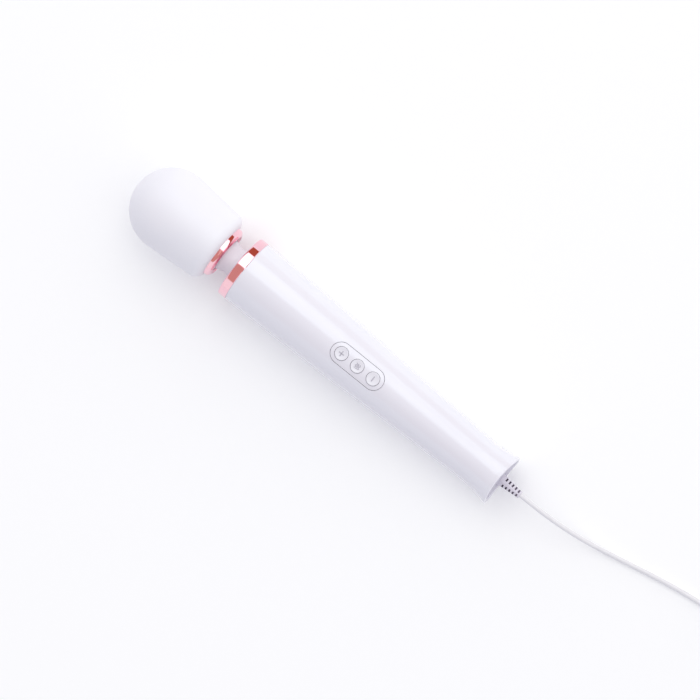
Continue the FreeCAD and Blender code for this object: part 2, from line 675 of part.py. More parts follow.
def key_solid(label, x, glyph):
    """A round key: dished cap, hidden flange and stem, with its sign raised on the dish."""
    surface = panel_radius(x)
    top = f"({surface} + key_rise)"
    flange_top = f"({surface} - panel_wall - 1.2)"
    cap = solid("Cylinder", f"{label}_cap", (x, "0", f"{flange_top} - 0.5"),
                Radius="key_radius", Height=f"{top} - {flange_top} + 0.5")
    flange = solid("Cylinder", f"{label}_flange", (x, "0", f"{flange_top} - 1"),
                   Radius="key_flange", Height="1")
    bottom = f"({MEMBRANE_TOP} + key_travel + 0.35)"
    stem = solid("Cylinder", f"{label}_stem", (x, "0", bottom),
                 Radius="1.8", Height=f"{flange_top} - {bottom}")
    dish = solid("Sphere", f"{label}_dish", (x, "0", f"{top} - 0.45 + key_dish"),
                 Radius="key_dish")
    cap_cut = cut(f"{label}_dished", fuse(f"{label}_blank", cap, flange, stem), dish)
    floor = f"{top} - 0.7"
    rise = "0.3 + glyph_height"
    signs = []
    if glyph == "plus":
        bars = ((4.4, 0.9), (0.9, 4.4))
    elif glyph == "minus":
        bars = ((0.9, 4.4),)
    else:
        bars = ()
        for number in range(3):
            shift = f"{x} + {(number - 1) * 1.3}"
            y = f"{(number % 2) * 1.4 - 0.7}"
            signs.append(solid("Cylinder", f"{label}_sign_{number}", (shift, y, floor),
                               Radius="0.85", Height=rise))
    for number, (along, across) in enumerate(bars):
        signs.append(solid("Box", f"{label}_sign_{number}",
                           (f"{x} - {along / 2}", f"0 - {across / 2}", floor),
                           Length=str(along), Width=str(across), Height=rise))
    keep(fuse(label, cap_cut, *signs), label)


def keys():
    band = new_body("panel_band")
    start = f"({PANEL_END} - 10)"
    inset = "panel_wall"
    revolve(band, [[
        (start, front_radius(start)), (PANEL_END, "panel_end_radius"), (GRIP, "grip_radius"),
        (GRIP, f"grip_radius - {inset}"), (PANEL_END, f"panel_end_radius - {inset}"),
        (start, f"{front_radius(start)} - {inset}")]], 180.0)
    plug = new_body("panel_plug")
    pad = plug.newObject("PartDesign::Pad", "panel_plug_pad")
    pad.Profile = new_sketch(plug, "XY_Plane", [
        stadium_loop(PANEL, "panel_length", "panel_width")])
    pad.setExpression("Length", bound("barrel_radius * 2"))
    doc.recompute()
    blank = doc.addObject("Part::Common", "panel_blank")
    blank.Base, blank.Tool = band, plug
    places = [f"({PANEL} + key_pitch * {step})" for step in (-1, 0, 1)]
    holes = [solid("Cylinder", f"key_hole_{number}", (x, "0", "0"),
                   Radius="key_radius + key_gap", Height="barrel_radius * 2")
             for number, x in enumerate(places)]
    keep(cut("key_panel", blank, group("key_holes", *holes)), "key_panel")
    for label, x, glyph in zip(("key_plus", "key_pulse", "key_minus"), places,
                               ("plus", "pulse", "minus")):
        key_solid(label, x, glyph)

    sheet_body = new_body("key_membrane")
    pad = sheet_body.newObject("PartDesign::Pad", "key_membrane_pad")
    pad.Profile = new_sketch(sheet_body, "XY_Plane", [
        stadium_loop(PANEL, "key_pitch * 2 + 13", "13")], f"{MEMBRANE_TOP} - membrane_thick")
    pad.setExpression("Length", bound("membrane_thick"))
    doc.recompute()
    keep(sheet_body, "key_membrane")

    laminate = solid("Box", "board_laminate",
                     (BOARD_FRONT, "0 - board_width / 2", "board_top - board_thick"),
                     Length="board_length", Width="board_width", Height="board_thick")
    keep(group("control_board", laminate), "control_board")
    switches = []
    for number, x in enumerate(places):
        case = solid("Box", f"switch_case_{number}",
                     (f"{x} - switch_side / 2", "0 - switch_side / 2", "board_top"),
                     Length="switch_side", Width="switch_side", Height="switch_height")
        button = solid("Cylinder", f"switch_button_{number}", (x, "0", "board_top + 0.5"),
                       Radius="1.7", Height="switch_height + 0.1")
        switches.append(fuse(f"switch_{number}", case, button))
    keep(group("tact_switches", *switches), "tact_switches")
    under = "board_top - board_thick"
    parts = [
        solid("Box", "driver_chip", (f"{PANEL} - 5", "0 - 5", f"{under} - 1.6"),
              Length="10", Width="10", Height="1.6"),
        solid("Cylinder", "smoothing_capacitor", (f"{PANEL} + 15", "0", f"{under} - 9"),
              Radius="4", Height="9"),
        solid("Box", "lead_socket", (f"{BOARD_BACK} - 9", "0 - 4", "board_top"),
              Length="7", Width="8", Height="5"),
    ]
    keep(group("board_parts", *parts), "board_parts")


# ---- wires and tubes -------------------------------------------------------------------------
def smooth_path(points, name=None):
    """Straight runs joined by tangent arcs, each as large as its two runs allow."""
    edges, here = [], points[0]
    for before, corner, after in zip(points, points[1:], points[2:]):
        to_before, to_after = before - corner, after - corner
        half_turn = (math.pi - to_before.getAngle(to_after)) / 2
        reach = 0.45 * min(to_before.Length, to_after.Length)
        radius = reach / math.tan(half_turn)
        if name:
            print(f"{name}: arc radius {radius:.1f} mm")
        start = corner + to_before.normalize() * reach
        end = corner + to_after.normalize() * reach
        bisector = (to_before + to_after).normalize()
        middle = corner + bisector * (radius / math.cos(half_turn) - radius)
        edges += [Part.LineSegment(here, start).toShape(), Part.Arc(start, middle, end).toShape()]
        here = end
    edges.append(Part.LineSegment(here, points[-1]).toShape())
    return Part.Wire(edges)


def tube(points, radius, name=None):
    path = smooth_path(points, name)
    ahead = (points[1] - points[0]).normalize()
    ring = Part.Wire([Part.makeCircle(radius, points[0], ahead)])
    made = path.makePipeShell([ring], True, False)
    expected = math.pi * radius ** 2 * path.Length
    if abs(made.Volume - expected) > 0.01 * expected:
        raise RuntimeError(f"tube volume {made.Volume:.1f}, expected {expected:.1f}")
    if name:
        print(f"{name}: length {path.Length:.1f} mm, volume {made.Volume:.1f} mm3")
    return made


def shape_part(label, shape, rides_on_wand=True):
    made = doc.addObject("Part::Feature", label)
    made.Shape = shape
    return keep(made, label, rides_on_wand)


def leads():
    under = value("board_top - board_thick")
    start = value(f"{MOTOR_END} + bell_length")
    front = value(BOARD_FRONT)
    back = value(BOARD_BACK)
    pairs = []
    for side in (-1, 1):
        y = side * 8.0
        pairs.append(tube([Vector(start, y, 0), Vector(start + 7, y, 0),
                           Vector(front + 3, y, 3.0), Vector(front + 3, y, under)], 0.7))
    shape_part("motor_leads", Part.makeCompound(pairs))
    clamp = value(f"{RIM} - 25")
    pairs = []
    for side in (-1, 1):
        y = side * 0.85
        pairs.append(tube([Vector(clamp, y, 0), Vector(back + 30, y, 0),
                           Vector(back + 8, y * 2.5, value("board_top + 1.5")),
                           Vector(back - 2, y * 2.5, value("board_top + 1.5"))], 0.7))
    shape_part("power_leads", Part.makeCompound(pairs))


# ---- base end and strain relief --------------------------------------------------------------
def base_end():
    face = f"({RIM} - rim_hollow - cap_inset)"
    inner_face = f"({face} - cap_thick)"
    cap = new_body("end_cap")
    revolve(cap, [[
        (inner_face, "relief_radius + 0.1"),
        (inner_face, f"{flare(inner_face, 'shell_wall')} - 0.1"),
        (face, f"{flare(face, 'shell_wall')} - 0.1"), (face, "relief_radius + 0.1")]])
    shelf = new_body("clamp_shelf")
    pad = shelf.newObject("PartDesign::Pad", "clamp_shelf_pad")
    shelf_end = f"({inner_face} - 3.6)"
    pad.Profile = new_sketch(shelf, "XZ_Plane", [[
        (f"{RIM} - 26", "0 - 10"), (f"{face} - 1", "0 - 10"), (f"{face} - 1", "0 - 7.2"),
        (shelf_end, "0 - 7.2"), (shelf_end, "0 - cord_radius - 0.05"),
        (f"{RIM} - 26", "0 - cord_radius - 0.05")]])
    pad.Midplane = True
    pad.setExpression("Length", "14")
    doc.recompute()
    holes = []
    for number, side in enumerate((-1, 1)):
        holes.append(solid("Cylinder", f"clamp_hole_{number}",
                           (f"{RIM} - 20", f"{5 * side}", "0 - 8"), Radius="1.05", Height="16"))
    whole = fuse("end_cap_blank", cap, shelf)
    keep(cut("end_cap", whole, group("clamp_holes", *holes)), "end_cap")

    bar = solid("Box", "clamp_bar", (f"{RIM} - 23", "0 - 7", "cord_radius + 0.05"),
                Length="6", Width="14", Height="2.5")
    bar_holes = [solid("Cylinder", f"bar_hole_{number}", (f"{RIM} - 20", f"{5 * side}", "0"),
                       Radius="1.05", Height="16") for number, side in enumerate((-1, 1))]
    keep(cut("cord_clamp", bar, group("bar_holes", *bar_holes)), "cord_clamp")
    screws = []
    for number, side in enumerate((-1, 1)):
        at = f"{5 * side}"
        shank = solid("Cylinder", f"clamp_shank_{number}", (f"{RIM} - 20", at, "0 - 6"),
                      Radius="1.03", Height="cord_radius + 9")
        head_part = solid("Cylinder", f"clamp_head_{number}",
                          (f"{RIM} - 20", at, "cord_radius + 2.55"), Radius="1.9", Height="1.4")
        screws.append(fuse(f"clamp_screw_{number}", shank, head_part))
    keep(group("clamp_screws", *screws), "clamp_screws")

    bore = "(cord_radius + cord_play)"
    tip = f"({RIM} + relief_length)"
    flange = f"({inner_face} - 2.1)"
    relief = new_body("strain_relief")
    revolve(relief, [[
        (flange, bore), (flange, "relief_radius + 2"),
        (f"{inner_face} - 0.1", "relief_radius + 2"), (f"{inner_face} - 0.1", "relief_radius"),
        (face, "relief_radius"), (tip, "relief_tip"), (tip, bore)]])
    for turn, shift in ((45, 0.0), (-45, 0.5)):
        slots = []
        for number in range(5):
            x = f"({face} + 3 + slot_pitch * {number + shift})"
            slots.append(box_loop(x, "0 - slot_chord / 2", f"{x} + slot_width",
                                  "slot_chord / 2"))
        pocket(relief, slots, turn=turn)
    keep(relief, "strain_relief")
    jacket = solid("Cylinder", "entry_jacket", (f"{RIM} - 25", "0", "0"), ALONG_X,
                   Radius="cord_radius", Height="relief_length + 25")
    keep(group("cord_entry", jacket), "cord_entry")


# ---- placing the wand ------------------------------------------------------------------------
def resting_placement():
    """Rest the wand on its head and its rim: the line that touches both circles is level."""
    rim_x, rim_r = value(RIM), value(f"{flare(RIM)} - rim_edge / 2")
    head_x, head_r = value("head_radius"), value("head_radius")
    tilt = math.atan2(head_r - rim_r, rim_x - head_x)
    turn = Rotation(Vector(0, 1, 0), math.degrees(tilt))
    placed = Placement(Vector(), turn)
    low, left, right = 1e9, 1e9, -1e9
    for label, made, rides in SUB_PARTS:
        if not rides:
            continue
        shape = made.Shape.copy()
        shape.Placement = placed.multiply(shape.Placement)
        box = shape.optimalBoundingBox(False, False)
        low, left, right = min(low, box.ZMin), min(left, box.XMin), max(right, box.XMax)
    return Placement(Vector(-(left + right) / 2, 0, -low), turn)


# ---- cord, coil and adapter ------------------------------------------------------------------
def cord_side(wand):
    """The lead outside the wand, laid on the table: free stretch, coil, tie, adapter."""
    radius = value("cord_radius")
    pitch = radius * 2
    lie = radius + 0.1
    exit_point = wand.multVec(Vector(value(f"{RIM} + relief_length"), 0, 0))
    ahead = wand.Rotation.multVec(Vector(1, 0, 0))

    turn = value("coil_turn")
    columns, layers = int(value("coil_columns")), int(value("coil_layers"))
    outer = turn + pitch * columns / 2
    inner = turn - pitch * columns / 2
    floor = value("tie_thick") + 0.1
    ceiling = floor + pitch * layers
    start_x = exit_point.x
    centre = Vector(start_x + 199, 46, 0)

    lead = [exit_point, exit_point + ahead * 17,
            Vector(start_x + 38, 0.8, 13.5), Vector(start_x + 60, 3.0, 5.4),
            Vector(start_x + 84, 8.0, lie), Vector(start_x + 114, 14.8, lie),
            Vector(start_x + 144, 20.2, lie), Vector(start_x + 171, 22.7, lie + 0.3),
            Vector(centre.x - 4, centre.y - outer + radius, floor + radius)]
    shape_part("power_cord", tube(lead, radius, "power_cord"), False)

    ring = Part.makeCylinder(outer, ceiling - floor, Vector(centre.x, centre.y, floor))
    hole = Part.makeCylinder(inner, ceiling, Vector(centre.x, centre.y, 0))
    coil = ring.cut(hole)
    rounded = [e for e in coil.Edges if abs(e.BoundBox.ZLength) < 1e-6]
    coil = coil.makeFillet(radius * 0.8, rounded)
    shape_part("cord_coil", coil, False)

    wide, thick = value("tie_width"), value("tie_thick")
    middle = Vector(centre.x + turn, centre.y, 0)
    half = outer - turn + 0.55
    band = Part.makeBox(2 * half + 2 * thick, wide, ceiling - floor + 0.2 + 2 * thick,
                        Vector(middle.x - half - thick, middle.y - wide / 2, 0.0))
    through = Part.makeBox(2 * half, wide + 2, ceiling - floor + 0.2,
                           Vector(middle.x - half, middle.y - wide / 2 - 1, thick))
    shape_part("cord_tie", band.cut(through), False)

    # adapter on its back, blades up
    long, broad, high = (value(n) for n in
                         ("adapter_length", "adapter_width", "adapter_height"))
    wall = value("adapter_wall")
    left = centre.x + outer + 28
    lead_y = centre.y - 9
    base_y = lead_y - broad / 2
    block = Part.makeBox(long, broad, high, Vector(left, base_y, 0))
    block = block.makeFillet(4.0, [e for e in block.Edges if e.BoundBox.ZLength > high - 1])
    block = block.makeFillet(1.5, [e for e in block.Edges if e.BoundBox.ZMax < 0.01])
    well = Part.makeBox(long - 2 * wall, broad - 2 * wall, high,
                        Vector(left + wall, base_y + wall, wall))
    relief_z = high / 2
    relief_axis = Vector(left, lead_y, relief_z)
    hole = Part.makeCylinder(3.05, 8, relief_axis - Vector(4, 0, 0), Vector(1, 0, 0))
    shape_part("adapter_case", block.cut(well).cut(hole), False)

    lid_thick = 3.0
    lid = Part.makeBox(long - 2 * wall - 0.1, broad - 2 * wall - 0.1, lid_thick,
                       Vector(left + wall + 0.05, base_y + wall + 0.05, high - lid_thick))
    blade_long, blade_wide, blade_thick = (value(n) for n in
                                           ("blade_length", "blade_width", "blade_thick"))
    spread = value("blade_spacing")
    mid_x = left + long / 2
    blades = []
    for side in (-1, 1):
        corner = Vector(mid_x - blade_wide / 2, lead_y + side * spread / 2 - blade_thick / 2,
                        high - lid_thick - 3)
        blade = Part.makeBox(blade_wide, blade_thick, blade_long + lid_thick + 3, corner)
        lid = lid.cut(blade)
        tips = [e for e in blade.Edges if e.BoundBox.ZMin > high + blade_long - 0.01
                and e.BoundBox.YLength > blade_thick / 2]
        blades.append(blade.makeChamfer(1.4, tips))
    shape_part("adapter_lid", lid, False)
    shape_part("adapter_blades", Part.makeCompound(blades), False)

    relief_long = 16.0
    tip_x = left - relief_long
    relief = Part.makeCone(2.6, 3.0, relief_long + wall, Vector(tip_x, lead_y, relief_z),
                           Vector(1, 0, 0))
    flange = Part.makeCylinder(4.2, 1.5, Vector(left + wall, lead_y, relief_z), Vector(1, 0, 0))
    shape_part("adapter_relief", relief.fuse(flange).removeSplitter(), False)

    board = Part.makeBox(long - 2 * wall - 8, broad - 2 * wall - 2, 1.6,
                         Vector(left + wall + 6, base_y + wall + 1, wall + 0.2))
    shape_part("adapter_board", board, False)
    print("lid face", Vector(left + 10, lead_y, high))
    print("blade middle", Vector(mid_x, lead_y, high + blade_long))
    core = Part.makeBox(20, 22, 14, Vector(mid_x - 4, lead_y - 11, wall + 1.9))
    shape_part("adapter_transformer", core, False)

    tail_top = ceiling + radius + 0.4
    tail = [Vector(centre.x - 18, centre.y + 3, tail_top),
            Vector(centre.x - 16, centre.y - 9.5, tail_top),
            Vector(centre.x - 5.5, centre.y - 18, tail_top),
            Vector(centre.x + 8, centre.y - 18, tail_top + 0.1),
            Vector(centre.x + 20, centre.y - 13, tail_top + 0.2),
            Vector(tip_x - 9, lead_y, relief_z),
            Vector(tip_x, lead_y, relief_z)]
    shape_part("adapter_cord", tube(tail, radius, "adapter_cord"), False)
    print("coil centre", centre, "turn", turn, "floor", floor, "ceiling", ceiling)
    print("exit", exit_point, "ahead", ahead, "tail start", tail[0])


head()
bearings()
eccentric()
neck()
barrel()
motor()
keys()
leads()
base_end()
doc.recompute()

wand_placement = resting_placement()
print("wand origin", wand_placement.Base, "tilt", math.degrees(wand_placement.Rotation.Angle))
for label, made, rides in SUB_PARTS:
    if rides:
        flip = Rotation(Vector(1, 0, 0), 180) if label == "bottom_shell" else Rotation()
        made.Placement = wand_placement.multiply(Placement(Vector(), flip)).multiply(
            made.Placement)
cord_side(wand_placement)
doc.recompute()

for item in doc.Objects:
    if any(word in ("Invalid", "Error") for word in item.State):
        raise RuntimeError(f"{item.Name} failed: {item.State}")

os.makedirs("parts", exist_ok=True)
for label, made, rides in SUB_PARTS:
    shape = made.Shape
    if shape.isNull() or not shape.isValid() or shape.Volume <= 0:
        raise RuntimeError(f"{label} has no valid shape")
    shape.exportStep(os.path.join("parts", f"{label}.step"))
print(len(SUB_PARTS), "sub-parts")
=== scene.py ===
"""Looks of a handheld wand massager lying beside its coiled lead and wall adapter."""
import json
from math import acos, cos, hypot, pi, radians, sin, tan

import bpy
from mathutils import Matrix, Vector


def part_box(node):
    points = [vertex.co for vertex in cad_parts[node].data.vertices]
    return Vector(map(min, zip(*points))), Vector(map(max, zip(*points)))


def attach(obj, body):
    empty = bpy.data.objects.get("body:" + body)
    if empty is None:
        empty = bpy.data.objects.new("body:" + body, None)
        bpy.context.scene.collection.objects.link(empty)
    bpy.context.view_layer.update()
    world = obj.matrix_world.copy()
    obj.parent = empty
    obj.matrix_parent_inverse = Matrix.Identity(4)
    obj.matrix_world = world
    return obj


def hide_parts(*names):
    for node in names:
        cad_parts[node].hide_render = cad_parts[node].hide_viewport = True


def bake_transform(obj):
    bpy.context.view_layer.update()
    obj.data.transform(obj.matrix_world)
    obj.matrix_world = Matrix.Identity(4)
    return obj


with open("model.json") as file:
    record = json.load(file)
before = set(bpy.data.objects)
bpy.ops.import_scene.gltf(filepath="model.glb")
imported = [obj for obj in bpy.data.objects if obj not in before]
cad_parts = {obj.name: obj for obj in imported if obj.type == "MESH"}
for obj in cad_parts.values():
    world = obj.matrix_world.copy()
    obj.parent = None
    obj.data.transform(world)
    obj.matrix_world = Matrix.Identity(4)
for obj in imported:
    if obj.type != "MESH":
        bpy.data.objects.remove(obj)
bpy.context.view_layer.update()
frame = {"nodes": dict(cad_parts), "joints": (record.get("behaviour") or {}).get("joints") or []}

MM = 0.001
ops = bpy.ops
scene = bpy.context.scene
ops.object.select_all(action="DESELECT")

# ---- The wand's own axes -----------------------------------------------------------------
# The wand lies a little head-up on the table, so its pieces are modelled along its own axis,
# in mm from the tip of the head, and are laid down in place when they are finished.
joints = {joint["name"]: joint for joint in frame["joints"]}
ALONG = Vector(joints["motor_spin"]["axis"]).normalized()
ACROSS = Vector((0, 1, 0))
UP = ALONG.cross(ACROSS).normalized()
PIVOT = Vector(joints["neck_pitch"]["pos_m"])
cover = frame["nodes"]["head_cover"].data.vertices
TIP = PIVOT + ALONG * min((v.co - PIVOT).dot(ALONG) for v in cover)
WAND = Matrix.Translation(TIP) @ Matrix((ALONG, ACROSS, UP)).transposed().to_4x4()
FROM_WAND = WAND.inverted()


def on_wand(x, y=0.0, z=0.0):
    """A point of the wand's own frame, in mm, as a point of the scene."""
    return WAND @ Vector((x * MM, y * MM, z * MM))


def span(name, beyond=0):
    """Where a CAD node starts and ends along the wand, beyond a station, and its largest
    radius there, in mm."""
    places = [FROM_WAND @ v.co for v in frame["nodes"][name].data.vertices]
    places = [p for p in places if p.x >= beyond * MM - 1e-6]
    stations = [p.x / MM for p in places]
    return min(stations), max(stations), max(hypot(p.y, p.z) for p in places) / MM


# ---- Table, light and camera -------------------------------------------------------------
# A plain white table under a soft white studio. The camera looks almost straight down on
# the keys, from a little towards the cord, with the head at the upper left.
AIM_STATION, AIM_SIDE = 194.6, 3.3
LEAN_ALONG, LEAN_ACROSS = radians(5.3), radians(6.6)
CAMERA_DISTANCE = 12.0
LENS = 858.0
PICTURE_TURN = radians(39.1)

toward = (ALONG * tan(LEAN_ALONG) + ACROSS * tan(LEAN_ACROSS) + UP).normalized()
right = ALONG * cos(PICTURE_TURN) + ACROSS * sin(PICTURE_TURN)
right = (right - toward * right.dot(toward)).normalized()
lens_data = bpy.data.cameras.new("camera")
lens_data.lens = LENS
camera = bpy.data.objects.new("camera", lens_data)
scene.collection.objects.link(camera)
camera.matrix_world = Matrix.Translation(
    on_wand(AIM_STATION, AIM_SIDE) + toward * CAMERA_DISTANCE
) @ Matrix((right, toward.cross(right), toward)).transposed().to_4x4()
scene.camera = camera
scene.view_settings.view_transform = "Standard"


def linear(code):
    """An sRGB hex colour as Blender's linear colour."""
    channels = [int(code[place:place + 2], 16) / 255 for place in (1, 3, 5)]
    return (*(c / 12.92 if c <= 0.04045 else ((c + 0.055) / 1.055) ** 2.4
              for c in channels), 1.0)


def add_node(tree, kind, inputs, **settings):
    """Add a node with its settings; each input is a value or the socket that feeds it."""
    made = tree.nodes.new("ShaderNode" + kind)
    for name, setting in settings.items():
        setattr(made, name, setting)
    for name, given in inputs.items():
        if isinstance(given, bpy.types.NodeSocket):
            tree.links.new(given, made.inputs[name])
        else:
            made.inputs[name].default_value = given
    return made


def start_material(name):
    """A new material's tree with nothing in it but its output."""
    material = bpy.data.materials.new(name)
    material.use_nodes = True
    material.node_tree.nodes.clear()
    add_node(material.node_tree, "OutputMaterial", {})
    return material, material.node_tree


def finish_material(tree, shader):
    """Connect a shader to the material's output."""
    tree.links.new(shader.outputs[0], tree.nodes["Material Output"].inputs["Surface"])


TABLE_SIZE = 12.0
table_white, tree = start_material("matt_white_laminate")
finish_material(tree, add_node(tree, "BsdfPrincipled", {
    "Base Color": linear("#FBFBFC"), "Roughness": 0.9, "Specular IOR Level": 0.2,
    "Emission Color": linear("#FFFFFF"), "Emission Strength": 0.09}))
ops.mesh.primitive_plane_add(size=TABLE_SIZE)
table = bpy.context.object
table.name = "table"
table.data.materials.append(table_white)

# The studio's walls, by their angle from straight up towards the far side of the table:
# white all round for soft light, and for mirrors a bright ceiling between two warm screens.
WHITE, SOFT_GREY, CEILING = (1, 1, 1, 1), (0.5, 0.5, 0.56, 1), (1.7, 1.7, 1.7, 1)
ROSE_SCREEN, COPPER_SCREEN = (0.64, 0.35, 0.30, 1), (0.43, 0.10, 0.06, 1)
SOFT_WALLS = [(-180, WHITE), (-95, SOFT_GREY), (-45, SOFT_GREY), (10, WHITE)]
MIRRORED_WALLS = [(-180, WHITE), (-56, WHITE), (-52, ROSE_SCREEN), (8, ROSE_SCREEN),
                  (12, CEILING), (60, CEILING), (62, COPPER_SCREEN), (104, COPPER_SCREEN),
                  (108, WHITE)]
world = bpy.data.worlds.new("studio")
scene.world = world
world.use_nodes = True
tree = world.node_tree
tree.nodes.clear()
sky = add_node(tree, "TexCoord", {})
parts = add_node(tree, "SeparateXYZ", {"Vector": sky.outputs["Generated"]})
side = add_node(tree, "Math", {0: parts.outputs["Y"], 1: parts.outputs["Z"]},
                operation="ARCTAN2")
turn = add_node(tree, "MapRange", {
    "Value": side.outputs[0], "From Min": -pi, "From Max": pi, "To Min": 0.0, "To Max": 1.0})
lights = []
for walls in (SOFT_WALLS, MIRRORED_WALLS):
    ramp = add_node(tree, "ValToRGB", {"Fac": turn.outputs[0]})
    stops = ramp.color_ramp.elements
    for number, (angle, colour) in enumerate(walls):
        place = (angle + 180) / 360
        stop = stops[number] if number < 2 else stops.new(place)
        stop.position = place
        stop.color = colour
    lights.append(add_node(tree, "Background", {"Color": ramp.outputs["Color"],
                                                "Strength": 1.0}))
seen = add_node(tree, "LightPath", {})
plain = add_node(tree, "Background", {"Color": WHITE, "Strength": 1.0})
direct = add_node(tree, "Math", {0: seen.outputs["Diffuse Depth"], 1: 0.5},
                  operation="LESS_THAN")
glossy = add_node(tree, "Math", {0: seen.outputs["Is Glossy Ray"], 1: direct.outputs[0]},
                  operation="MULTIPLY")
mirrored = add_node(tree, "MixShader", {
    "Fac": glossy.outputs[0], 1: lights[0].outputs[0], 2: lights[1].outputs[0]})
both = add_node(tree, "MixShader", {
    "Fac": seen.outputs["Is Camera Ray"], 1: mirrored.outputs[0], 2: plain.outputs[0]})
add_node(tree, "OutputWorld", {"Surface": both.outputs[0]})

for name, place, size, power in (
        ("key_light", (-0.4, 0.9, 1.6), 1.2, 3.7), ("fill_light", (0.5, 0.1, 2.0), 1.4, 1.2)):
    lamp = bpy.data.lights.new(name, "AREA")
    lamp.energy, lamp.size = power, size
    light = bpy.data.objects.new(name, lamp)
    scene.collection.objects.link(light)
    light.location = place
    light.rotation_euler = (-Vector(place)).to_track_quat("-Z", "Y").to_euler()


# ---- Head cover --------------------------------------------------------------------------
# The massaging head: a dome on a slightly tapering skirt, of one thick silicone cap that is
# moulded on its own and pulled over the head's core. Its mould is blasted, so it is matt.
HEAD_RADIUS, HEAD_EDGE, HEAD_TAPER, COVER_WALL, LIP = 31.0, 8.0, 4.56, 3.0, 2.0
_, HEAD_END, _ = span("head_cover")


def headings(point):
    """The outline's directions as it reaches a point and leaves it; None is straight on."""
    return (point[2], point[-1]) if len(point) > 2 else (None, None)


def turned(name, outline, axis="X", steps=144, fineness=12):
    """Draw a half outline, in mm, and turn it round an axis. A point is (place, radius), with
    a direction in degrees where the outline is smooth, or two, reaching and leaving it."""
    drawn = bpy.data.curves.new(name, "CURVE")
    drawn.dimensions = "3D"
    drawn.resolution_u = fineness
    spline = drawn.splines.new("BEZIER")
    spline.bezier_points.add(len(outline) - 1)
    spline.use_cyclic_u = outline[0][1] > 0
    lay = (lambda a, r: Vector((a, 0, r)) * MM) if axis == "X" else (
        lambda a, r: Vector((r, 0, a)) * MM)
    knots = list(spline.bezier_points)
    for knot, point in zip(knots, outline):
        knot.handle_left_type = knot.handle_right_type = "FREE"
        knot.co = lay(point[0], point[1])
        knot.handle_left = knot.handle_right = knot.co
    for number, point in enumerate(outline):
        after = (number + 1) % len(outline)
        chord = Vector(outline[after][:2]) - Vector(point[:2])
        ways = []
        for angle in (headings(point)[1], headings(outline[after])[0]):
            ways.append(chord.normalized() if angle is None else
                        Vector((cos(radians(angle)), sin(radians(angle)))))
        bend = acos(max(-1.0, min(1.0, ways[0].dot(ways[1]))))
        reach = chord.length * (2 / 3 * tan(bend / 4) / sin(bend / 2) if bend > 0.01 else 1 / 3)
        knots[number].handle_right = lay(*(Vector(point[:2]) + ways[0] * reach))
        knots[after].handle_left = lay(*(Vector(outline[after][:2]) - ways[1] * reach))
        if bend < 1e-4:
            knots[number].handle_right_type = knots[after].handle_left_type = "VECTOR"
    made = bpy.data.objects.new(name, drawn)
    scene.collection.objects.link(made)
    pick(made)
    ops.object.convert(target="MESH")
    made = bpy.context.object
    ops.object.mode_set(mode="EDIT")
    ops.mesh.select_all(action="SELECT")
    ops.mesh.spin(steps=steps, angle=2 * pi, center=(0, 0, 0),
                  axis=(1, 0, 0) if axis == "X" else (0, 0, 1))
    ops.mesh.select_all(action="SELECT")
    ops.mesh.remove_doubles(threshold=1e-6)
    ops.mesh.normals_make_consistent(inside=False)
    ops.object.mode_set(mode="OBJECT")
    ops.object.shade_smooth_by_angle(angle=radians(35))
    return made


def pick(made, *more):
    """Make a piece the active one, with only it and any others selected."""
    ops.object.select_all(action="DESELECT")
    for piece in (made, *more):
        piece.select_set(True)
    bpy.context.view_layer.objects.active = made


def finish(made, material, body, slot, *stands_for, place=WAND):
    """Lay a finished piece in its place, and say its material, body and CAD nodes."""
    if material:
        made.data.materials.clear()
        made.data.materials.append(material)
    pick(made)
    made.matrix_world = place @ made.matrix_world
    ops.object.transform_apply(location=True, rotation=True, scale=True)
    if stands_for:
        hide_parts(*stands_for)
    if body:
        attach(made, body)
    return made


def moulded(name, light, dark, roughness, cloud, grain, relief, coat=0.0):
    """A moulded plastic or rubber: two near colours in clouds of some mm, a roughness that
    varies with them, and the mould's texture as grains of some mm with a relief in mm."""
    material, tree = start_material(name)
    place = add_node(tree, "TexCoord", {})
    clouds = add_node(tree, "TexNoise", {
        "Vector": place.outputs["Object"], "Scale": 1 / (cloud * MM), "Detail": 3.0})
    colour = add_node(tree, "Mix", {
        0: clouds.outputs["Fac"], 6: linear(light), 7: linear(dark)}, data_type="RGBA")
    rough = add_node(tree, "MapRange", {
        "Value": clouds.outputs["Fac"], "From Min": 0.3, "From Max": 0.7,
        "To Min": roughness * 0.9, "To Max": roughness * 1.1})
    grains = add_node(tree, "TexNoise", {
        "Vector": place.outputs["Object"], "Scale": 1 / (grain * MM), "Detail": 2.0})
    surface = add_node(tree, "Bump", {
        "Height": grains.outputs["Fac"], "Strength": 1.0, "Distance": relief * MM})
    finish_material(tree, add_node(tree, "BsdfPrincipled", {
        "Base Color": colour.outputs[2], "Roughness": rough.outputs[0], "IOR": 1.46,
        "Coat Weight": coat, "Coat Roughness": 0.05, "Normal": surface.outputs[0]}))
    return material


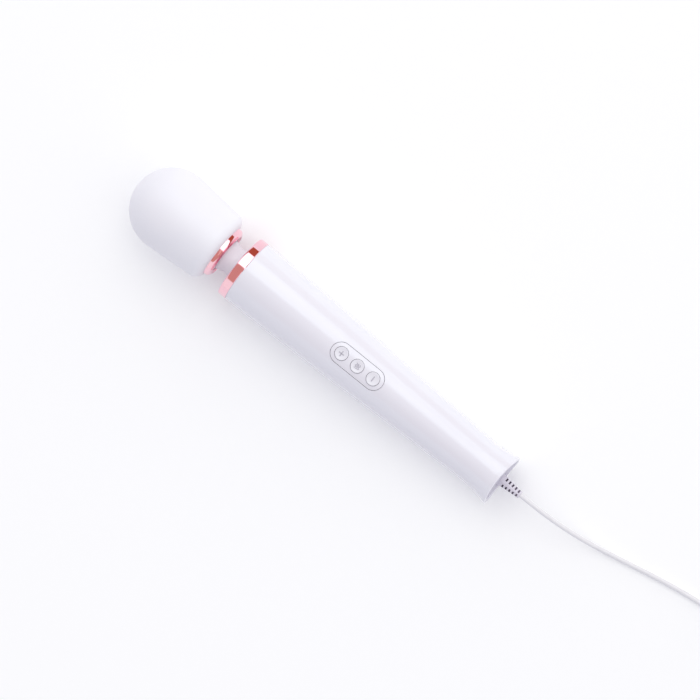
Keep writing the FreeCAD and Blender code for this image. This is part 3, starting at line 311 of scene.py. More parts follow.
slope = radians(HEAD_TAPER)
foot = HEAD_END - HEAD_EDGE
shoulder = HEAD_RADIUS * (1 + sin(slope))
foot_line = (HEAD_RADIUS * cos(slope)
             - (foot + HEAD_EDGE * sin(slope) - shoulder) * tan(slope))
foot_centre = foot_line - HEAD_EDGE * cos(slope)
inner_dome, inner_foot = HEAD_RADIUS - COVER_WALL, HEAD_EDGE - COVER_WALL
head = turned("head_silicone_cover", [
    (0, 0, 90),
    (HEAD_RADIUS * (1 - cos(radians(45))), HEAD_RADIUS * sin(radians(45)), 45),
    (shoulder, HEAD_RADIUS * cos(slope), -HEAD_TAPER),
    (foot + HEAD_EDGE * sin(slope), foot_line, -HEAD_TAPER),
    (HEAD_END, foot_centre, -90, None),
    (HEAD_END, foot_centre - LIP), (HEAD_END - COVER_WALL, foot_centre - LIP),
    (HEAD_END - COVER_WALL, foot_centre, None, 90),
    (foot + inner_foot * sin(slope), foot_centre + inner_foot * cos(slope), 180 - HEAD_TAPER),
    (HEAD_RADIUS + inner_dome * sin(slope), inner_dome * cos(slope), 180 - HEAD_TAPER),
    (COVER_WALL, 0, 270)], steps=160, fineness=20)
silicone = moulded("silicone_rubber_matt", "#F6F5FB", "#F1F0F8", 0.5,
                   cloud=30, grain=0.6, relief=0.006)
finish(head, silicone, "head", "silicone", "head_cover")

# ---- Head collar -------------------------------------------------------------------------
# The bright ring that closes the head behind its cover: ABS, moulded, then copper and rose
# gold plated, and screwed on from inside. A fine ridge parts its band from its dished face.
collar_start, COLLAR_END, collar_radius = span("head_collar")
NECK_RADIUS = 12.6


PLATING_CLOUD = 6


def plated(name, colour, shade, roughness):
    """Bright plating: a mirror, a little cloudier and deeper in colour in places."""
    material, tree = start_material(name)
    place = add_node(tree, "TexCoord", {})
    clouds = add_node(tree, "TexNoise", {
        "Vector": place.outputs["Object"], "Scale": 1 / (PLATING_CLOUD * MM), "Detail": 2.0})
    tint = add_node(tree, "Mix", {
        0: clouds.outputs["Fac"], 6: linear(colour), 7: linear(shade)}, data_type="RGBA")
    rough = add_node(tree, "MapRange", {
        "Value": clouds.outputs["Fac"], "From Min": 0.3, "From Max": 0.7,
        "To Min": roughness * 0.8, "To Max": roughness * 1.2})
    finish_material(tree, add_node(tree, "BsdfPrincipled", {
        "Base Color": tint.outputs[2], "Roughness": rough.outputs[0], "Metallic": 1.0}))
    return material


rose_gold = plated("rose_gold_plating", "#F9CDD8", "#F6C6D0", 0.05)
c, out_r = collar_start, collar_radius
collar = turned("head_collar_ring", [
    (c, 15.2), (c, out_r), (c + 1.5, out_r, 0), (c + 3.9, out_r - 1.6, -60),
    (c + 4.6, out_r - 2.8, -75, None), (c + 4.7, out_r - 3.4, -90),
    (c + 4.3, out_r - 3.7, 200), (c + 3.3, out_r - 5.2, 262),
    (c + 3.6, NECK_RADIUS + 1.0, 290), (c + 4.1, NECK_RADIUS + 0.5, -90, None),
    (c + 2.2, NECK_RADIUS + 0.5), (c + 2.2, 15.2)])
finish(collar, rose_gold, "head", "rose_gold", "head_collar")

# ---- Neck sleeve -------------------------------------------------------------------------
# The waisted silicone sleeve over the neck's spring, held by a flange at each end. It is
# cut at the pivot into two pieces.
sleeve_start, sleeve_end, flange_radius = span("neck_sleeve")
NECK_WAIST, NECK_BORE, FLANGE = 10.75, 8.5, 2.0
pivot_station = (FROM_WAND @ PIVOT).x / MM
RING, BARREL, ring_radius = span("body_ring")
neck_silicone = moulded("silicone_rubber_neck", "#F4F3FA", "#EFEEF6", 0.45,
                        cloud=20, grain=0.5, relief=0.006)
front_half = turned("neck_sleeve_front", [
    (sleeve_start, NECK_BORE), (sleeve_start, flange_radius),
    (sleeve_start + FLANGE, flange_radius), (sleeve_start + FLANGE, NECK_RADIUS),
    (COLLAR_END - 0.6, NECK_RADIUS, None, -3), (pivot_station, NECK_WAIST, 0, None),
    (pivot_station, NECK_BORE)])
rear_half = turned("neck_sleeve_rear", [
    (pivot_station, NECK_BORE), (pivot_station, NECK_WAIST, None, 0),
    (RING - 0.6, NECK_RADIUS + 0.2, 34, None), (RING + 0.2, NECK_RADIUS + 0.2),
    (sleeve_end - FLANGE, NECK_RADIUS), (sleeve_end - FLANGE, flange_radius),
    (sleeve_end, flange_radius), (sleeve_end, NECK_BORE)])
for half in (front_half, rear_half):
    finish(half, neck_silicone, None, "silicone", "neck_sleeve")
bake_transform(front_half)
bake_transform(rear_half)

# ---- Body ring ---------------------------------------------------------------------------
# The wide ring at the barrel's mouth: plated like the collar. It plugs into the two shells
# and holds their front ends together; a fine chamfer shows where it meets them.
plug = ring_radius - 2.4
ring = turned("body_plated_ring", [
    (RING, NECK_RADIUS + 0.8), (RING, ring_radius - 1.5, None, 90),
    (RING + 1.5, ring_radius, 0), (BARREL - 0.35, ring_radius), (BARREL, ring_radius - 0.35),
    (BARREL, plug), (RING + 1.4, plug), (RING + 1.4, NECK_RADIUS + 0.8)], steps=180)
finish(ring, rose_gold, "handle", "rose_gold", "body_ring")

# ---- Barrel shells -----------------------------------------------------------------------
# The handle is two half shells of glossy ABS that meet along its sides. They taper to a waist
# and flare out again at the base, whose rim is hollow when seen from above. The upper shell
# has the round-ended opening for the keys.
shell_radius = span("top_shell")[2]
_, RIM, rim_radius = span("top_shell", beyond=BARREL + 220)
PANEL_END, GRIP, WAIST = BARREL + 89, BARREL + 132, RIM - 28
PANEL_RADIUS, GRIP_RADIUS, WAIST_RADIUS = 22.65, 20.75, 17.95
FLARE_END, RIM_HOLLOW, SHELL_WALL, RIM_EDGE = 14.2, 1.7, 2.2, 1.2
PANEL_LENGTH, PANEL_WIDTH, PANEL_GAP = 45.5, 16.0, 0.35
BARREL_STEPS = 202  # not a multiple of 4, so that the seam runs between two rows of corners
PANEL = BARREL + 107
ABOVE = 30  # a height clear of the barrel, for the tops of the cutting blocks
HOLLOW_REACH = 9

# A gloss moulding has no grain to see, only a slow waviness some millimetres long.
gloss_white = moulded("abs_gloss_white", "#F1F0F8", "#EDECF5", 0.16,
                      cloud=60, grain=7, relief=0.002, coat=0.3)


def choose(made, kind, test):
    """Select the vertices, edges or faces of a piece that pass a test, and go into edit mode."""
    pick(made)
    ops.object.mode_set(mode="EDIT")
    ops.mesh.select_mode(type=kind)
    ops.mesh.select_all(action="DESELECT")
    ops.object.mode_set(mode="OBJECT")
    mesh = made.data
    if kind == "VERT":
        for corner in mesh.vertices:
            corner.select = test(corner.co)
    elif kind == "EDGE":
        for edge in mesh.edges:
            a, b = (mesh.vertices[v].co for v in edge.vertices)
            edge.select = test((a + b) / 2, (b - a).normalized())
    else:
        for face in mesh.polygons:
            face.select = test(face.center, face.normal)
    ops.object.mode_set(mode="EDIT")


def stadium(name, length, width, low, high):
    """An upright round-ended block, in mm: two cylinders bridged by their hull."""
    ops.mesh.primitive_cylinder_add(vertices=96, radius=width / 2 * MM, depth=(high - low) * MM,
                                    location=(PANEL * MM, 0, (low + high) / 2 * MM))
    made = bpy.context.object
    made.name = name
    ops.object.transform_apply(location=True, rotation=False, scale=False)
    half = (length - width) / 2 * MM
    for side in (-1, 1):
        choose(made, "VERT", lambda at: (at.x - PANEL * MM) * side > 1e-6)
        ops.transform.translate(value=(side * half, 0, 0))
        ops.object.mode_set(mode="OBJECT")
    return made


def carve(made, tool, operation="DIFFERENCE"):
    """Cut a piece with a tool, which is used up."""
    knife = made.modifiers.new("carve", "BOOLEAN")
    knife.object, knife.operation, knife.solver = tool, operation, "EXACT"
    knife.material_mode = "TRANSFER"
    pick(made)
    ops.object.modifier_apply(modifier=knife.name)
    bpy.data.objects.remove(tool)
    ops.object.shade_smooth_by_angle(angle=radians(35))


def barrel_outline(wall):
    """The barrel's section, from its mouth to its rim and back inside."""
    return [
        (BARREL, shell_radius - 0.25), (BARREL + 0.25, shell_radius),
        (BARREL + 1, shell_radius - 0.02, None, -1.2), (PANEL_END, PANEL_RADIUS, -1.9),
        (GRIP, GRIP_RADIUS, -2.3), (WAIST, WAIST_RADIUS, -2.0),
        (RIM - RIM_EDGE, rim_radius, FLARE_END),
        (RIM - 0.1, rim_radius - RIM_EDGE + 0.3, -75, None),
        (RIM - 0.1, rim_radius - wall + 0.4),
        (RIM - 1.2, rim_radius - wall - 0.1, FLARE_END + 180),
        (WAIST, WAIST_RADIUS - wall, 178), (BARREL, shell_radius - wall)]


def hollow_rim(made):
    """Draw the rim's middle in, evenly less towards its sides and towards the waist."""
    for v in made.data.vertices:
        near = max(0.0, (v.co.x / MM - (RIM - HOLLOW_REACH)) / HOLLOW_REACH)
        v.co.x -= RIM_HOLLOW * MM * near ** 2 * (1 - (v.co.y / MM / rim_radius) ** 2)


shell = turned("barrel_upper_shell", barrel_outline(SHELL_WALL), steps=BARREL_STEPS, fineness=16)
hollow_rim(shell)
halves = {}
for name, side in (("barrel_upper_shell", 1), ("barrel_lower_shell", -1)):
    pick(shell)
    ops.object.duplicate()
    half = bpy.context.object
    ops.object.mode_set(mode="EDIT")
    ops.mesh.select_all(action="SELECT")
    ops.mesh.bisect(plane_co=(0, 0, 0), plane_no=(0, 0, side), clear_inner=True,
                    use_fill=True)
    ops.object.mode_set(mode="OBJECT")
    ops.object.shade_smooth_by_angle(angle=radians(35))
    halves[name] = half
bpy.data.objects.remove(shell)
upper, lower = halves.values()
upper.name, lower.name = halves
carve(upper, stadium("opening", PANEL_LENGTH + 2 * PANEL_GAP, PANEL_WIDTH + 2 * PANEL_GAP,
                     10, ABOVE))
finish(upper, gloss_white, "handle", "barrel_white", "top_shell")
finish(lower, gloss_white, "handle", "barrel_white", "bottom_shell")

# ---- Key panel and keys ------------------------------------------------------------------
# A round-ended ABS panel is snapped into the opening, flush with the barrel. Three round
# keys of satin ABS show through it, each dished for a fingertip and marked with a raised
# sign: more, pattern and less. Each sinks by itself.
KEY_RADIUS, KEY_GAP, KEY_PITCH, KEY_RISE, KEY_DEPTH = 5.0, 0.28, 14.5, 0.3, 3.4
SIGN_WIDTH, SIGN_LENGTH, SIGN_RISE, SIGN_DEPTH, DISH = 0.9, 4.4, 0.3, 0.6, 0.55
PANEL_WALL, FLANGE_DEPTH, FLANGE_DROP, FLANGE_REACH, FLANGE_MARGIN = 2.6, 0.8, 2.35, 27.0, 1.5
satin_white = moulded("abs_satin_white", "#F2F1F8", "#EEEDF5", 0.3,
                      cloud=25, grain=0.8, relief=0.004)
sign_grey = moulded("abs_sign_grey", "#C9C7D0", "#BFBDC8", 0.4, cloud=3, grain=0.4,
                    relief=0.004)


def surface(station):
    """The barrel's radius at a station between the panel's front and the grip."""
    return PANEL_RADIUS - (station - PANEL_END) * (PANEL_RADIUS - GRIP_RADIUS) / (
        GRIP - PANEL_END)


panel = turned("key_panel_plate", barrel_outline(PANEL_WALL), steps=BARREL_STEPS, fineness=16)
carve(panel, stadium("panel_block", PANEL_LENGTH, PANEL_WIDTH, 14, ABOVE), "INTERSECT")
near, far = PANEL - FLANGE_REACH, PANEL + FLANGE_REACH
flange = turned("key_panel_flange", [
    (near, surface(near) - FLANGE_DROP), (far, surface(far) - FLANGE_DROP),
    (far, surface(far) - FLANGE_DROP - FLANGE_DEPTH),
    (near, surface(near) - FLANGE_DROP - FLANGE_DEPTH)], steps=BARREL_STEPS)
carve(flange, stadium("flange_block", PANEL_LENGTH + 2 * FLANGE_MARGIN,
                      PANEL_WIDTH + 2 * FLANGE_MARGIN, 10, ABOVE), "INTERSECT")
carve(panel, flange, "UNION")
for step in (-1, 0, 1):
    ops.mesh.primitive_cylinder_add(
        vertices=64, radius=(KEY_RADIUS + KEY_GAP) * MM, depth=30 * MM,
        location=((PANEL + step * KEY_PITCH) * MM, 0, 20 * MM))
    carve(panel, bpy.context.object)
finish(panel, gloss_white, "handle", "barrel_white", "key_panel")


def bar(along, across, z):
    """A sign's bar: a small block with rounded edges, centred on the key."""
    ops.mesh.primitive_cube_add(size=1, location=(0, 0, z * MM),
                                scale=(along * MM, across * MM, SIGN_DEPTH * MM))
    made = bpy.context.object
    ops.object.transform_apply(location=True, rotation=True, scale=True)
    ops.object.mode_set(mode="EDIT")
    ops.mesh.select_all(action="SELECT")
    ops.mesh.bevel(offset=0.2 * MM, segments=3)
    ops.object.mode_set(mode="OBJECT")
    return made


def wave(shift, z):
    """One raised wavy line across the key, drawn as a round bead and flattened."""
    line = bpy.data.curves.new("wave", "CURVE")
    line.dimensions = "3D"
    line.bevel_depth = 0.3 * MM
    line.bevel_resolution = 3
    spline = line.splines.new("BEZIER")
    spline.bezier_points.add(4)
    for number, knot in enumerate(spline.bezier_points):
        knot.co = ((shift + 0.45 * (1 if number % 2 else -1)) * MM,
                   (number - 2) * 1.0 * MM, z * MM)
        knot.handle_left_type = knot.handle_right_type = "AUTO"
    made = bpy.data.objects.new("wave", line)
    scene.collection.objects.link(made)
    pick(made)
    ops.object.convert(target="MESH")
    return bpy.context.object


for name, step, node, body in (("key_more", -1, "key_plus", "plus_key"),
                               ("key_pattern", 0, "key_pulse", "pulse_key"),
                               ("key_less", 1, "key_minus", "minus_key")):
    station = PANEL + step * KEY_PITCH
    top = surface(station) + KEY_RISE
    key = turned(name, [
        (-DISH, 0, 90), (-0.12, KEY_RADIUS - 1.0, 78), (0, KEY_RADIUS - 0.45, 90),
        (-0.45, KEY_RADIUS, 180, None), (-KEY_DEPTH, KEY_RADIUS), (-KEY_DEPTH, 0)],
        axis="Z", steps=72, fineness=8)
    sign_level = -DISH + SIGN_RISE - SIGN_DEPTH / 2
    signs = {"key_plus": [(SIGN_LENGTH, SIGN_WIDTH), (SIGN_WIDTH, SIGN_LENGTH)],
             "key_minus": [(SIGN_WIDTH, SIGN_LENGTH)], "key_pulse": []}[node]
    raised = [bar(along, across, sign_level) for along, across in signs]
    if node == "key_pulse":
        raised = [wave(shift, -DISH + 0.1) for shift in (-1.2, 0.2, 1.6)]
    key.data.materials.append(satin_white)
    for sign in raised:
        sign.data.materials.append(sign_grey)
    pick(key, *raised)
    ops.object.join()
    ops.object.shade_smooth_by_angle(angle=radians(35))
    key.location = (station * MM, 0, top * MM)
    bpy.context.view_layer.update()
    finish(key, None, body, "barrel_white", node)

# ---- End cap and strain relief -----------------------------------------------------------
# A matt ABS cap closes the base inside the hollow rim; its grey is painted shade, for a face
# that looks away inside the rim. Through it comes the lead, in a tapering sleeve of soft grey
# rubber whose rows of slots let it bend evenly.
CAP_THICK = 3.2
RELIEF_RADIUS, RELIEF_TIP = 4.5, 2.6
SLOTS_START, SLOT_PITCH, SLOT_WIDTH, SLOT_CHORD = 3.35, 2.95, 1.3, 2.9
cap_face = span("end_cap")[1]
_, RELIEF_END, _ = span("strain_relief")
cap_radius = rim_radius - SHELL_WALL - 0.7
cap = turned("base_end_cap", [
    (cap_face - CAP_THICK, RELIEF_RADIUS + 0.1), (cap_face - CAP_THICK, cap_radius - 1.0),
    (cap_face - 0.3, cap_radius), (cap_face, cap_radius - 0.3),
    (cap_face, RELIEF_RADIUS + 1.6), (cap_face - 0.5, RELIEF_RADIUS + 1.2),
    (cap_face - 0.5, RELIEF_RADIUS + 0.1)])
# The cap's grey is painted shade: it stands in for the shade on the recessed end face.
cap_painted_shade = moulded("abs_matt_grey", "#CDCAD8", "#C6C2D1", 0.55, cloud=12, grain=0.5,
                   relief=0.01)
finish(cap, cap_painted_shade, "handle", "end_grey", "end_cap")

relief = turned("cord_strain_relief", [
    (cap_face - 3, 1.8), (cap_face - 3, RELIEF_RADIUS), (cap_face, RELIEF_RADIUS),
    (RELIEF_END - 1.6, RELIEF_TIP + 0.17), (RELIEF_END - 1.3, RELIEF_TIP + 0.35, None, 0),
    (RELIEF_END - 0.35, RELIEF_TIP + 0.25, -30), (RELIEF_END, RELIEF_TIP - 0.15, -90, None),
    (RELIEF_END, 1.8)], steps=96, fineness=6)
relief_grey = moulded("tpe_rubber_lavender", "#E6E2EC", "#DDD8E5", 0.5, cloud=5, grain=0.4,
                      relief=0.012)
slot_shade = moulded("tpe_rubber_slot_shade", "#7A7083", "#665B6F", 0.7, cloud=3, grain=0.4,
                     relief=0.01)
relief.data.materials.append(relief_grey)
tools = []
for turn in (45, 135, 225, 315):
    for number in range(5):
        station = cap_face + SLOTS_START + SLOT_PITCH * number
        ops.mesh.primitive_cube_add(
            size=1, location=((station + SLOT_WIDTH / 2) * MM, 0, 4.2 * MM),
            scale=(SLOT_WIDTH * MM, SLOT_CHORD * MM, 4 * MM))
        tool = bpy.context.object
        ops.object.transform_apply(location=True, rotation=True, scale=True)
        tool.rotation_euler = (radians(turn), 0, 0)
        ops.object.transform_apply(location=True, rotation=True, scale=True)
        tools.append(tool)
pick(*tools)
ops.object.join()
tools[0].data.materials.append(slot_shade)
carve(relief, tools[0])
finish(relief, None, "handle", "end_grey", "strain_relief")

# ---- Lead --------------------------------------------------------------------------------
# A thin white two-core lead, 1.8 m long. It leaves the strain relief, comes down to the
# table in a long easy bend, and the spare length is wound into a neat tied coil. Its other
# end goes over the coil and into the wall adapter.
CORD_RADIUS = 1.75
exit_point = on_wand(RELIEF_END)
coil_low, coil_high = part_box("cord_coil")
coil = (coil_low + coil_high) / 2
COIL_RADII, COIL_PITCH, TURN_POINTS, CUTS_INSIDE = (23.5, 20.0, 16.5), 3.5, 16, 1.012
COIL_FLOOR = coil_low.z / MM + CORD_RADIUS

adapter_low, adapter_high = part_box("adapter_case")
relief_low, relief_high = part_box("adapter_relief")
plug_exit = Vector((relief_low.x, (relief_low.y + relief_high.y) / 2,
                    (relief_low.z + relief_high.z) / 2))


def beyond(x, y, z):
    """A point of the lead, in mm along X from its exit, on the table's own axes."""
    return Vector((exit_point.x + x * MM, y * MM, z * MM))


def by_coil(x, y, z):
    """A point in mm from the coil's middle, at a height above the table."""
    return Vector((coil.x + x * MM, coil.y + y * MM, z * MM))


# Down to the table and up to the coil, lying ON_TABLE mm high in between.
STRAIGHT_OUT, ON_TABLE = 17, 1.85
route = [exit_point, exit_point + ALONG * STRAIGHT_OUT * MM, beyond(38, 0.8, 13.5),
         beyond(60, 3.0, 5.4), beyond(84, 8.0, ON_TABLE), beyond(114, 14.8, ON_TABLE),
         beyond(144, 20.2, ON_TABLE), beyond(171, 22.7, 2.15)]

# Wound layer on layer, the first from the outside in, the next from the inside out, and so on.
# The last turn stops short, where the end of the lead leaves the coil.
LAYERS, LAST_TURN_SHORT = 4, 6
columns = len(COIL_RADII)
for number in range(columns * LAYERS * TURN_POINTS - LAST_TURN_SHORT):
    angle = -90 + (number + 0.5) * 360 / TURN_POINTS
    wound = number / TURN_POINTS
    layer = min(int(wound / columns), LAYERS - 1)
    inward = wound - layer * columns
    turn_in_layer = min(max(inward - 0.5, 0.0), columns - 1.0)
    place = turn_in_layer if layer % 2 == 0 else columns - 1.0 - turn_in_layer
    radius = (COIL_RADII[0] - COIL_PITCH * place) * CUTS_INSIDE
    rise = max(0.0, inward - (columns - 0.5)) * 2 if layer < LAYERS - 1 else 0.0
    height = COIL_FLOOR + COIL_PITCH * (layer + rise / 2)
    if layer and inward < 0.5:
        height = COIL_FLOOR + COIL_PITCH * (layer - 0.5 + inward)
    route.append(by_coil(radius * cos(radians(angle)), radius * sin(radians(angle)), height))

# Over the top of the coil, off it towards the adapter, and through the boot into the case.
OVER_COIL, STRAIGHT_IN, INTO_CASE = 17.05, 9, 3
route += [by_coil(-19.8, 13.0, 15.0), by_coil(-21, 3.5, OVER_COIL),
          by_coil(-17.5, -8.5, OVER_COIL), by_coil(-5.5, -18, OVER_COIL),
          by_coil(8, -18, 17.15), by_coil(20, -13, 17.25),
          plug_exit - Vector((STRAIGHT_IN * MM, 0, 0)), plug_exit,
          plug_exit + Vector((adapter_low.x - relief_low.x + INTO_CASE * MM, 0, 0))]

line = bpy.data.curves.new("power_lead", "CURVE")
line.dimensions = "3D"
line.resolution_u = 8
line.bevel_depth = CORD_RADIUS * MM
line.bevel_resolution = 5
line.use_fill_caps = True
spline = line.splines.new("NURBS")
spline.points.add(len(route) - 1)
for point, place in zip(spline.points, route):
    point.co = (*place, 1.0)
spline.order_u = 3
spline.use_endpoint_u = True
lead = bpy.data.objects.new("power_lead", line)
scene.collection.objects.link(lead)
cord_white = moulded("pvc_cord_white", "#F1F0F3", "#E6E5EA", 0.35, cloud=8, grain=1.2,
                     relief=0.01)
line.materials.append(cord_white)
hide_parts("power_cord", "cord_coil", "adapter_cord")
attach(lead, "handle")

# ---- Tie ---------------------------------------------------------------------------------
# A strap of woven hook-and-loop tape, wrapped once round the coil's side and closed on
# itself, keeps the spare lead together.
tie_low, tie_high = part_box("cord_tie")
tie_middle, tie_size = (tie_low + tie_high) / 2, tie_high - tie_low
TIE_CORNER, TIE_THICK = 3.0, 0.8
ops.mesh.primitive_cube_add(size=1, location=tie_middle, scale=tie_size)
tie = bpy.context.object
tie.name = "cord_tie_strap"
ops.object.transform_apply(location=True, rotation=True, scale=True)
choose(tie, "FACE", lambda at, normal: abs(normal.y) > 0.5)
ops.mesh.delete(type="ONLY_FACE")
ops.object.mode_set(mode="OBJECT")
choose(tie, "EDGE", lambda at, way: abs(way.y) > 0.5)
ops.mesh.bevel(offset=TIE_CORNER * MM, segments=8)
ops.object.mode_set(mode="OBJECT")
thick = tie.modifiers.new("thickness", "SOLIDIFY")
thick.thickness, thick.offset = TIE_THICK * MM, -1
soften = tie.modifiers.new("edges", "BEVEL")
soften.width, soften.segments, soften.limit_method = 0.25 * MM, 2, "ANGLE"
pick(tie)
for modifier in ("thickness", "edges"):
    ops.object.modifier_apply(modifier=modifier)
ops.object.shade_smooth_by_angle(angle=radians(40))

# Woven tape has threads well under a millimetre wide. They are drawn coarser than real, some
# 2 mm apart, so that the weave can be seen; a wave repeats every 0.314 of this length in mm.
THREADS = 6.4
tape, tree = start_material("nylon_hook_tape_grey")
place = add_node(tree, "TexCoord", {})
threads = [add_node(tree, "TexWave", {
    "Vector": place.outputs["Object"], "Scale": 1 / (THREADS * MM), "Distortion": 0.4},
    bands_direction=way) for way in ("X", "Y")]
weave = add_node(tree, "Math", {0: threads[0].outputs["Fac"], 1: threads[1].outputs["Fac"]},
                 operation="MULTIPLY")
shades = add_node(tree, "Mix", {
    0: weave.outputs[0], 6: linear("#C9C7CF"), 7: linear("#E6E5EA")}, data_type="RGBA")
cloth = add_node(tree, "Bump", {"Height": weave.outputs[0], "Strength": 0.6,
                                "Distance": 0.15 * MM})
finish_material(tree, add_node(tree, "BsdfPrincipled", {
    "Base Color": shades.outputs[2], "Roughness": 0.85, "Sheen Weight": 0.3,
    "Normal": cloth.outputs[0]}))
tie.data.materials.append(tape)
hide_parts("cord_tie")
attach(tie, "handle")

# ---- Wall adapter ------------------------------------------------------------------------
# The plug-in power supply, on its back with its blades up: a rounded case of spark-textured
# ABS, a lid welded into its open side, two nickel-plated brass blades and a ribbed relief.
CASE_CORNER, CASE_FOOT, CASE_WALL, LID_RECESS = 4.0, 1.5, 2.0, 3.1
adapter_white = moulded("abs_spark_white", "#EFEEF2", "#E9E8ED", 0.5, cloud=20, grain=0.7,
                        relief=0.03)


def block(name, low, high):
    """A plain block between two corners, ready to be shaped."""
    ops.mesh.primitive_cube_add(size=1, location=(low + high) / 2, scale=high - low)
    made = bpy.context.object
    made.name = name
    ops.object.transform_apply(location=True, rotation=True, scale=True)
    return made


def round_edges(made, test, radius, segments):
    """Bevel the edges that pass a test, to a radius in mm."""
    choose(made, "EDGE", test)
    ops.mesh.bevel(offset=radius * MM, segments=segments)
    ops.object.mode_set(mode="OBJECT")


TOP = adapter_high.z
case = block("adapter_body", adapter_low, adapter_high)
round_edges(case, lambda at, way: abs(way.z) > 0.9, CASE_CORNER, 8)
round_edges(case, lambda at, way: at.z < adapter_low.z + 1e-5 and abs(way.z) < 0.1,
            CASE_FOOT, 4)
choose(case, "FACE", lambda at, normal: normal.z > 0.9 and at.z > TOP - 1e-5)
ops.mesh.inset(thickness=CASE_WALL * MM)
ops.mesh.extrude_region_move(
    TRANSFORM_OT_translate={"value": (0, 0, -LID_RECESS * MM)})
ops.object.mode_set(mode="OBJECT")
round_edges(case, lambda at, way: at.z > TOP - 1e-5, 0.4, 2)
ops.object.shade_smooth_by_angle(angle=radians(35))
finish(case, adapter_white, "handle", "adapter_white", "adapter_case", place=Matrix())

lid_low, lid_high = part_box("adapter_lid")
lid = block("adapter_lid_plate", lid_low, lid_high)
round_edges(lid, lambda at, way: abs(way.z) > 0.9, CASE_CORNER - CASE_WALL, 6)
round_edges(lid, lambda at, way: at.z > TOP - 1e-5 and abs(way.z) < 0.1, 0.4, 2)
finish(lid, adapter_white, "handle", "adapter_white", "adapter_lid", place=Matrix())
ops.object.shade_smooth_by_angle(angle=radians(35))

blade_low, blade_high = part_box("adapter_blades")
BLADE_THICK, BLADE_CHAMFER, BLADE_HOLE, HOLE_BELOW_TIP = 1.5, 1.4, 1.6, 3.6
blades = []
for side in (-1, 1):
    outer = blade_low.y if side < 0 else blade_high.y
    inner = outer - side * BLADE_THICK * MM
    blade = block("blade", Vector((blade_low.x, min(outer, inner), blade_low.z)),
                  Vector((blade_high.x, max(outer, inner), blade_high.z)))
    round_edges(blade, lambda at, way: at.z > blade_high.z - 1e-5 and abs(way.y) > 0.9,
                BLADE_CHAMFER, 1)
    ops.mesh.primitive_cylinder_add(
        vertices=40, radius=BLADE_HOLE * MM, depth=6 * MM, rotation=(pi / 2, 0, 0),
        location=((blade_low.x + blade_high.x) / 2, outer,
                  blade_high.z - HOLE_BELOW_TIP * MM))
    carve(blade, bpy.context.object)
    edges = blade.modifiers.new("edges", "BEVEL")
    edges.width, edges.segments, edges.limit_method = 0.15 * MM, 2, "ANGLE"
    pick(blade)
    ops.object.modifier_apply(modifier="edges")
    blades.append(blade)
pick(*blades)
ops.object.join()
blades = bpy.context.object
blades.name = "adapter_blade_pair"
ops.object.shade_smooth_by_angle(angle=radians(35))
nickel = plated("nickel_plated_brass", "#D9D4C8", "#CFC9BB", 0.22)
finish(blades, nickel, "handle", "brass", "adapter_blades", place=Matrix())

RIBS = 4
boot_length = (relief_high.x - relief_low.x) / MM
boot_outline = [(0, 1.8), (0, 2.3), (0.4, 2.6)]
for number in range(RIBS):
    groove = 2.6 + number * 2.9
    boot_outline += [(groove, 2.7), (groove + 0.25, 2.2), (groove + 1.0, 2.2),
                     (groove + 1.25, 2.75)]
boot_outline += [(boot_length - 2, 3.0), (boot_length, 3.0), (boot_length, 1.8)]
boot = turned("adapter_cord_boot", boot_outline, steps=48, fineness=4)
finish(boot, adapter_white, "handle", "adapter_white", "adapter_relief",
       place=Matrix.Translation(plug_exit))

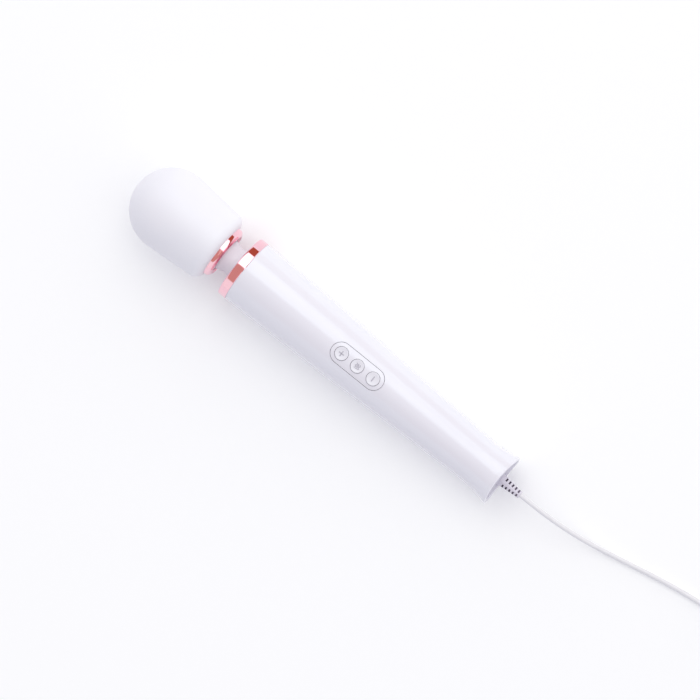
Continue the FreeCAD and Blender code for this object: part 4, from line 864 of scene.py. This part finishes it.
# ---- Inside ------------------------------------------------------------------------------
# What the shells and the cover hide keeps its CAD shape: the glass-filled core of the head,
# bearings, drive and motor, the circuit board with its parts, and the wires and clamp.
INSIDE = {
    "nylon_glass_filled": (("#8C8F94", "#7D8085", 0.55, 10, 0.5, 0.02),
                           ["head_core", "head_core_base", "nose_plate", "cord_clamp"]),
    "rubber_black": (("#2A2A2C", "#232325", 0.7, 8, 0.6, 0.02),
                     ["motor_mount_front", "motor_mount_rear", "key_membrane",
                      "drive_bellows"]),
    "ferrite_magnet": (("#4A4A4D", "#3E3E41", 0.6, 4, 0.3, 0.02), ["motor_magnets"]),
    "epoxy_board_green": (("#2F6B4A", "#275B3F", 0.35, 6, 0.3, 0.01),
                          ["control_board", "adapter_board"]),
    "epoxy_part_black": (("#2B2B2E", "#222225", 0.5, 3, 0.3, 0.01),
                         ["board_parts", "tact_switches"]),
    "pvc_wire_grey": (("#D8D6DC", "#CBC9D0", 0.4, 5, 0.8, 0.01),
                      ["motor_leads", "power_leads", "cord_entry"]),
}
METAL_INSIDE = {
    "steel_ground": (("#C6C8CC", "#B9BBC0", 0.22),
                     ["inner_races", "outer_races", "bearing_balls", "motor_shaft",
                      "neck_spring", "eccentric_shaft", "eccentric_weight", "weight_screw",
                      "nose_screws", "clamp_screws", "coupling_hub_front",
                      "coupling_hub_rear", "motor_can", "motor_end_bell", "rotor_core",
                      "adapter_transformer"]),
    "copper_wound": (("#C77B4A", "#B56A3D", 0.3),
                     ["rotor_windings", "commutator", "motor_brushes", "motor_bushes"]),
}
made_inside = [(moulded(name, *look), hidden) for name, (look, hidden) in INSIDE.items()]
made_inside += [(plated(name, *look), hidden) for name, (look, hidden) in METAL_INSIDE.items()]
for material, hidden in made_inside:
    for name in hidden:
        mesh = frame["nodes"][name].data
        mesh.materials.clear()
        mesh.materials.append(material)


BELLOWS_ROOM = 0.8


def cut_at_pivot(node, slot, room):
    """Stand two halves in for a CAD node, cut at the pivot with some room, in mm, each side."""
    whole = frame["nodes"][node]
    halves = []
    for side, end in ((-1, "front"), (1, "rear")):
        half = bpy.data.objects.new(node + "_" + end, whole.data.copy())
        scene.collection.objects.link(half)
        half.matrix_world = whole.matrix_world
        pick(half)
        ops.object.transform_apply(location=True, rotation=True, scale=True)
        ops.object.mode_set(mode="EDIT")
        ops.mesh.select_all(action="SELECT")
        ops.mesh.bisect(plane_co=on_wand(pivot_station + side * room), plane_no=ALONG * side,
                        clear_inner=True, use_fill=True)
        ops.object.mode_set(mode="OBJECT")
        halves.append(half)
    for half in halves:
        finish(half, None, None, slot, node, place=Matrix.Identity(4))
    return halves


# The neck's spring is cut at the pivot like its sleeve. The bellows between the motor and the
# head's weight turns at both ends, so its halves ride on the parts they are fixed to.
front_half, rear_half = cut_at_pivot("neck_spring", "steel", 0)
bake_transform(front_half)
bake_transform(rear_half)
front_half, rear_half = cut_at_pivot("drive_bellows", "dark_rubber", BELLOWS_ROOM)
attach(front_half, "eccentric")
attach(rear_half, "rotor")
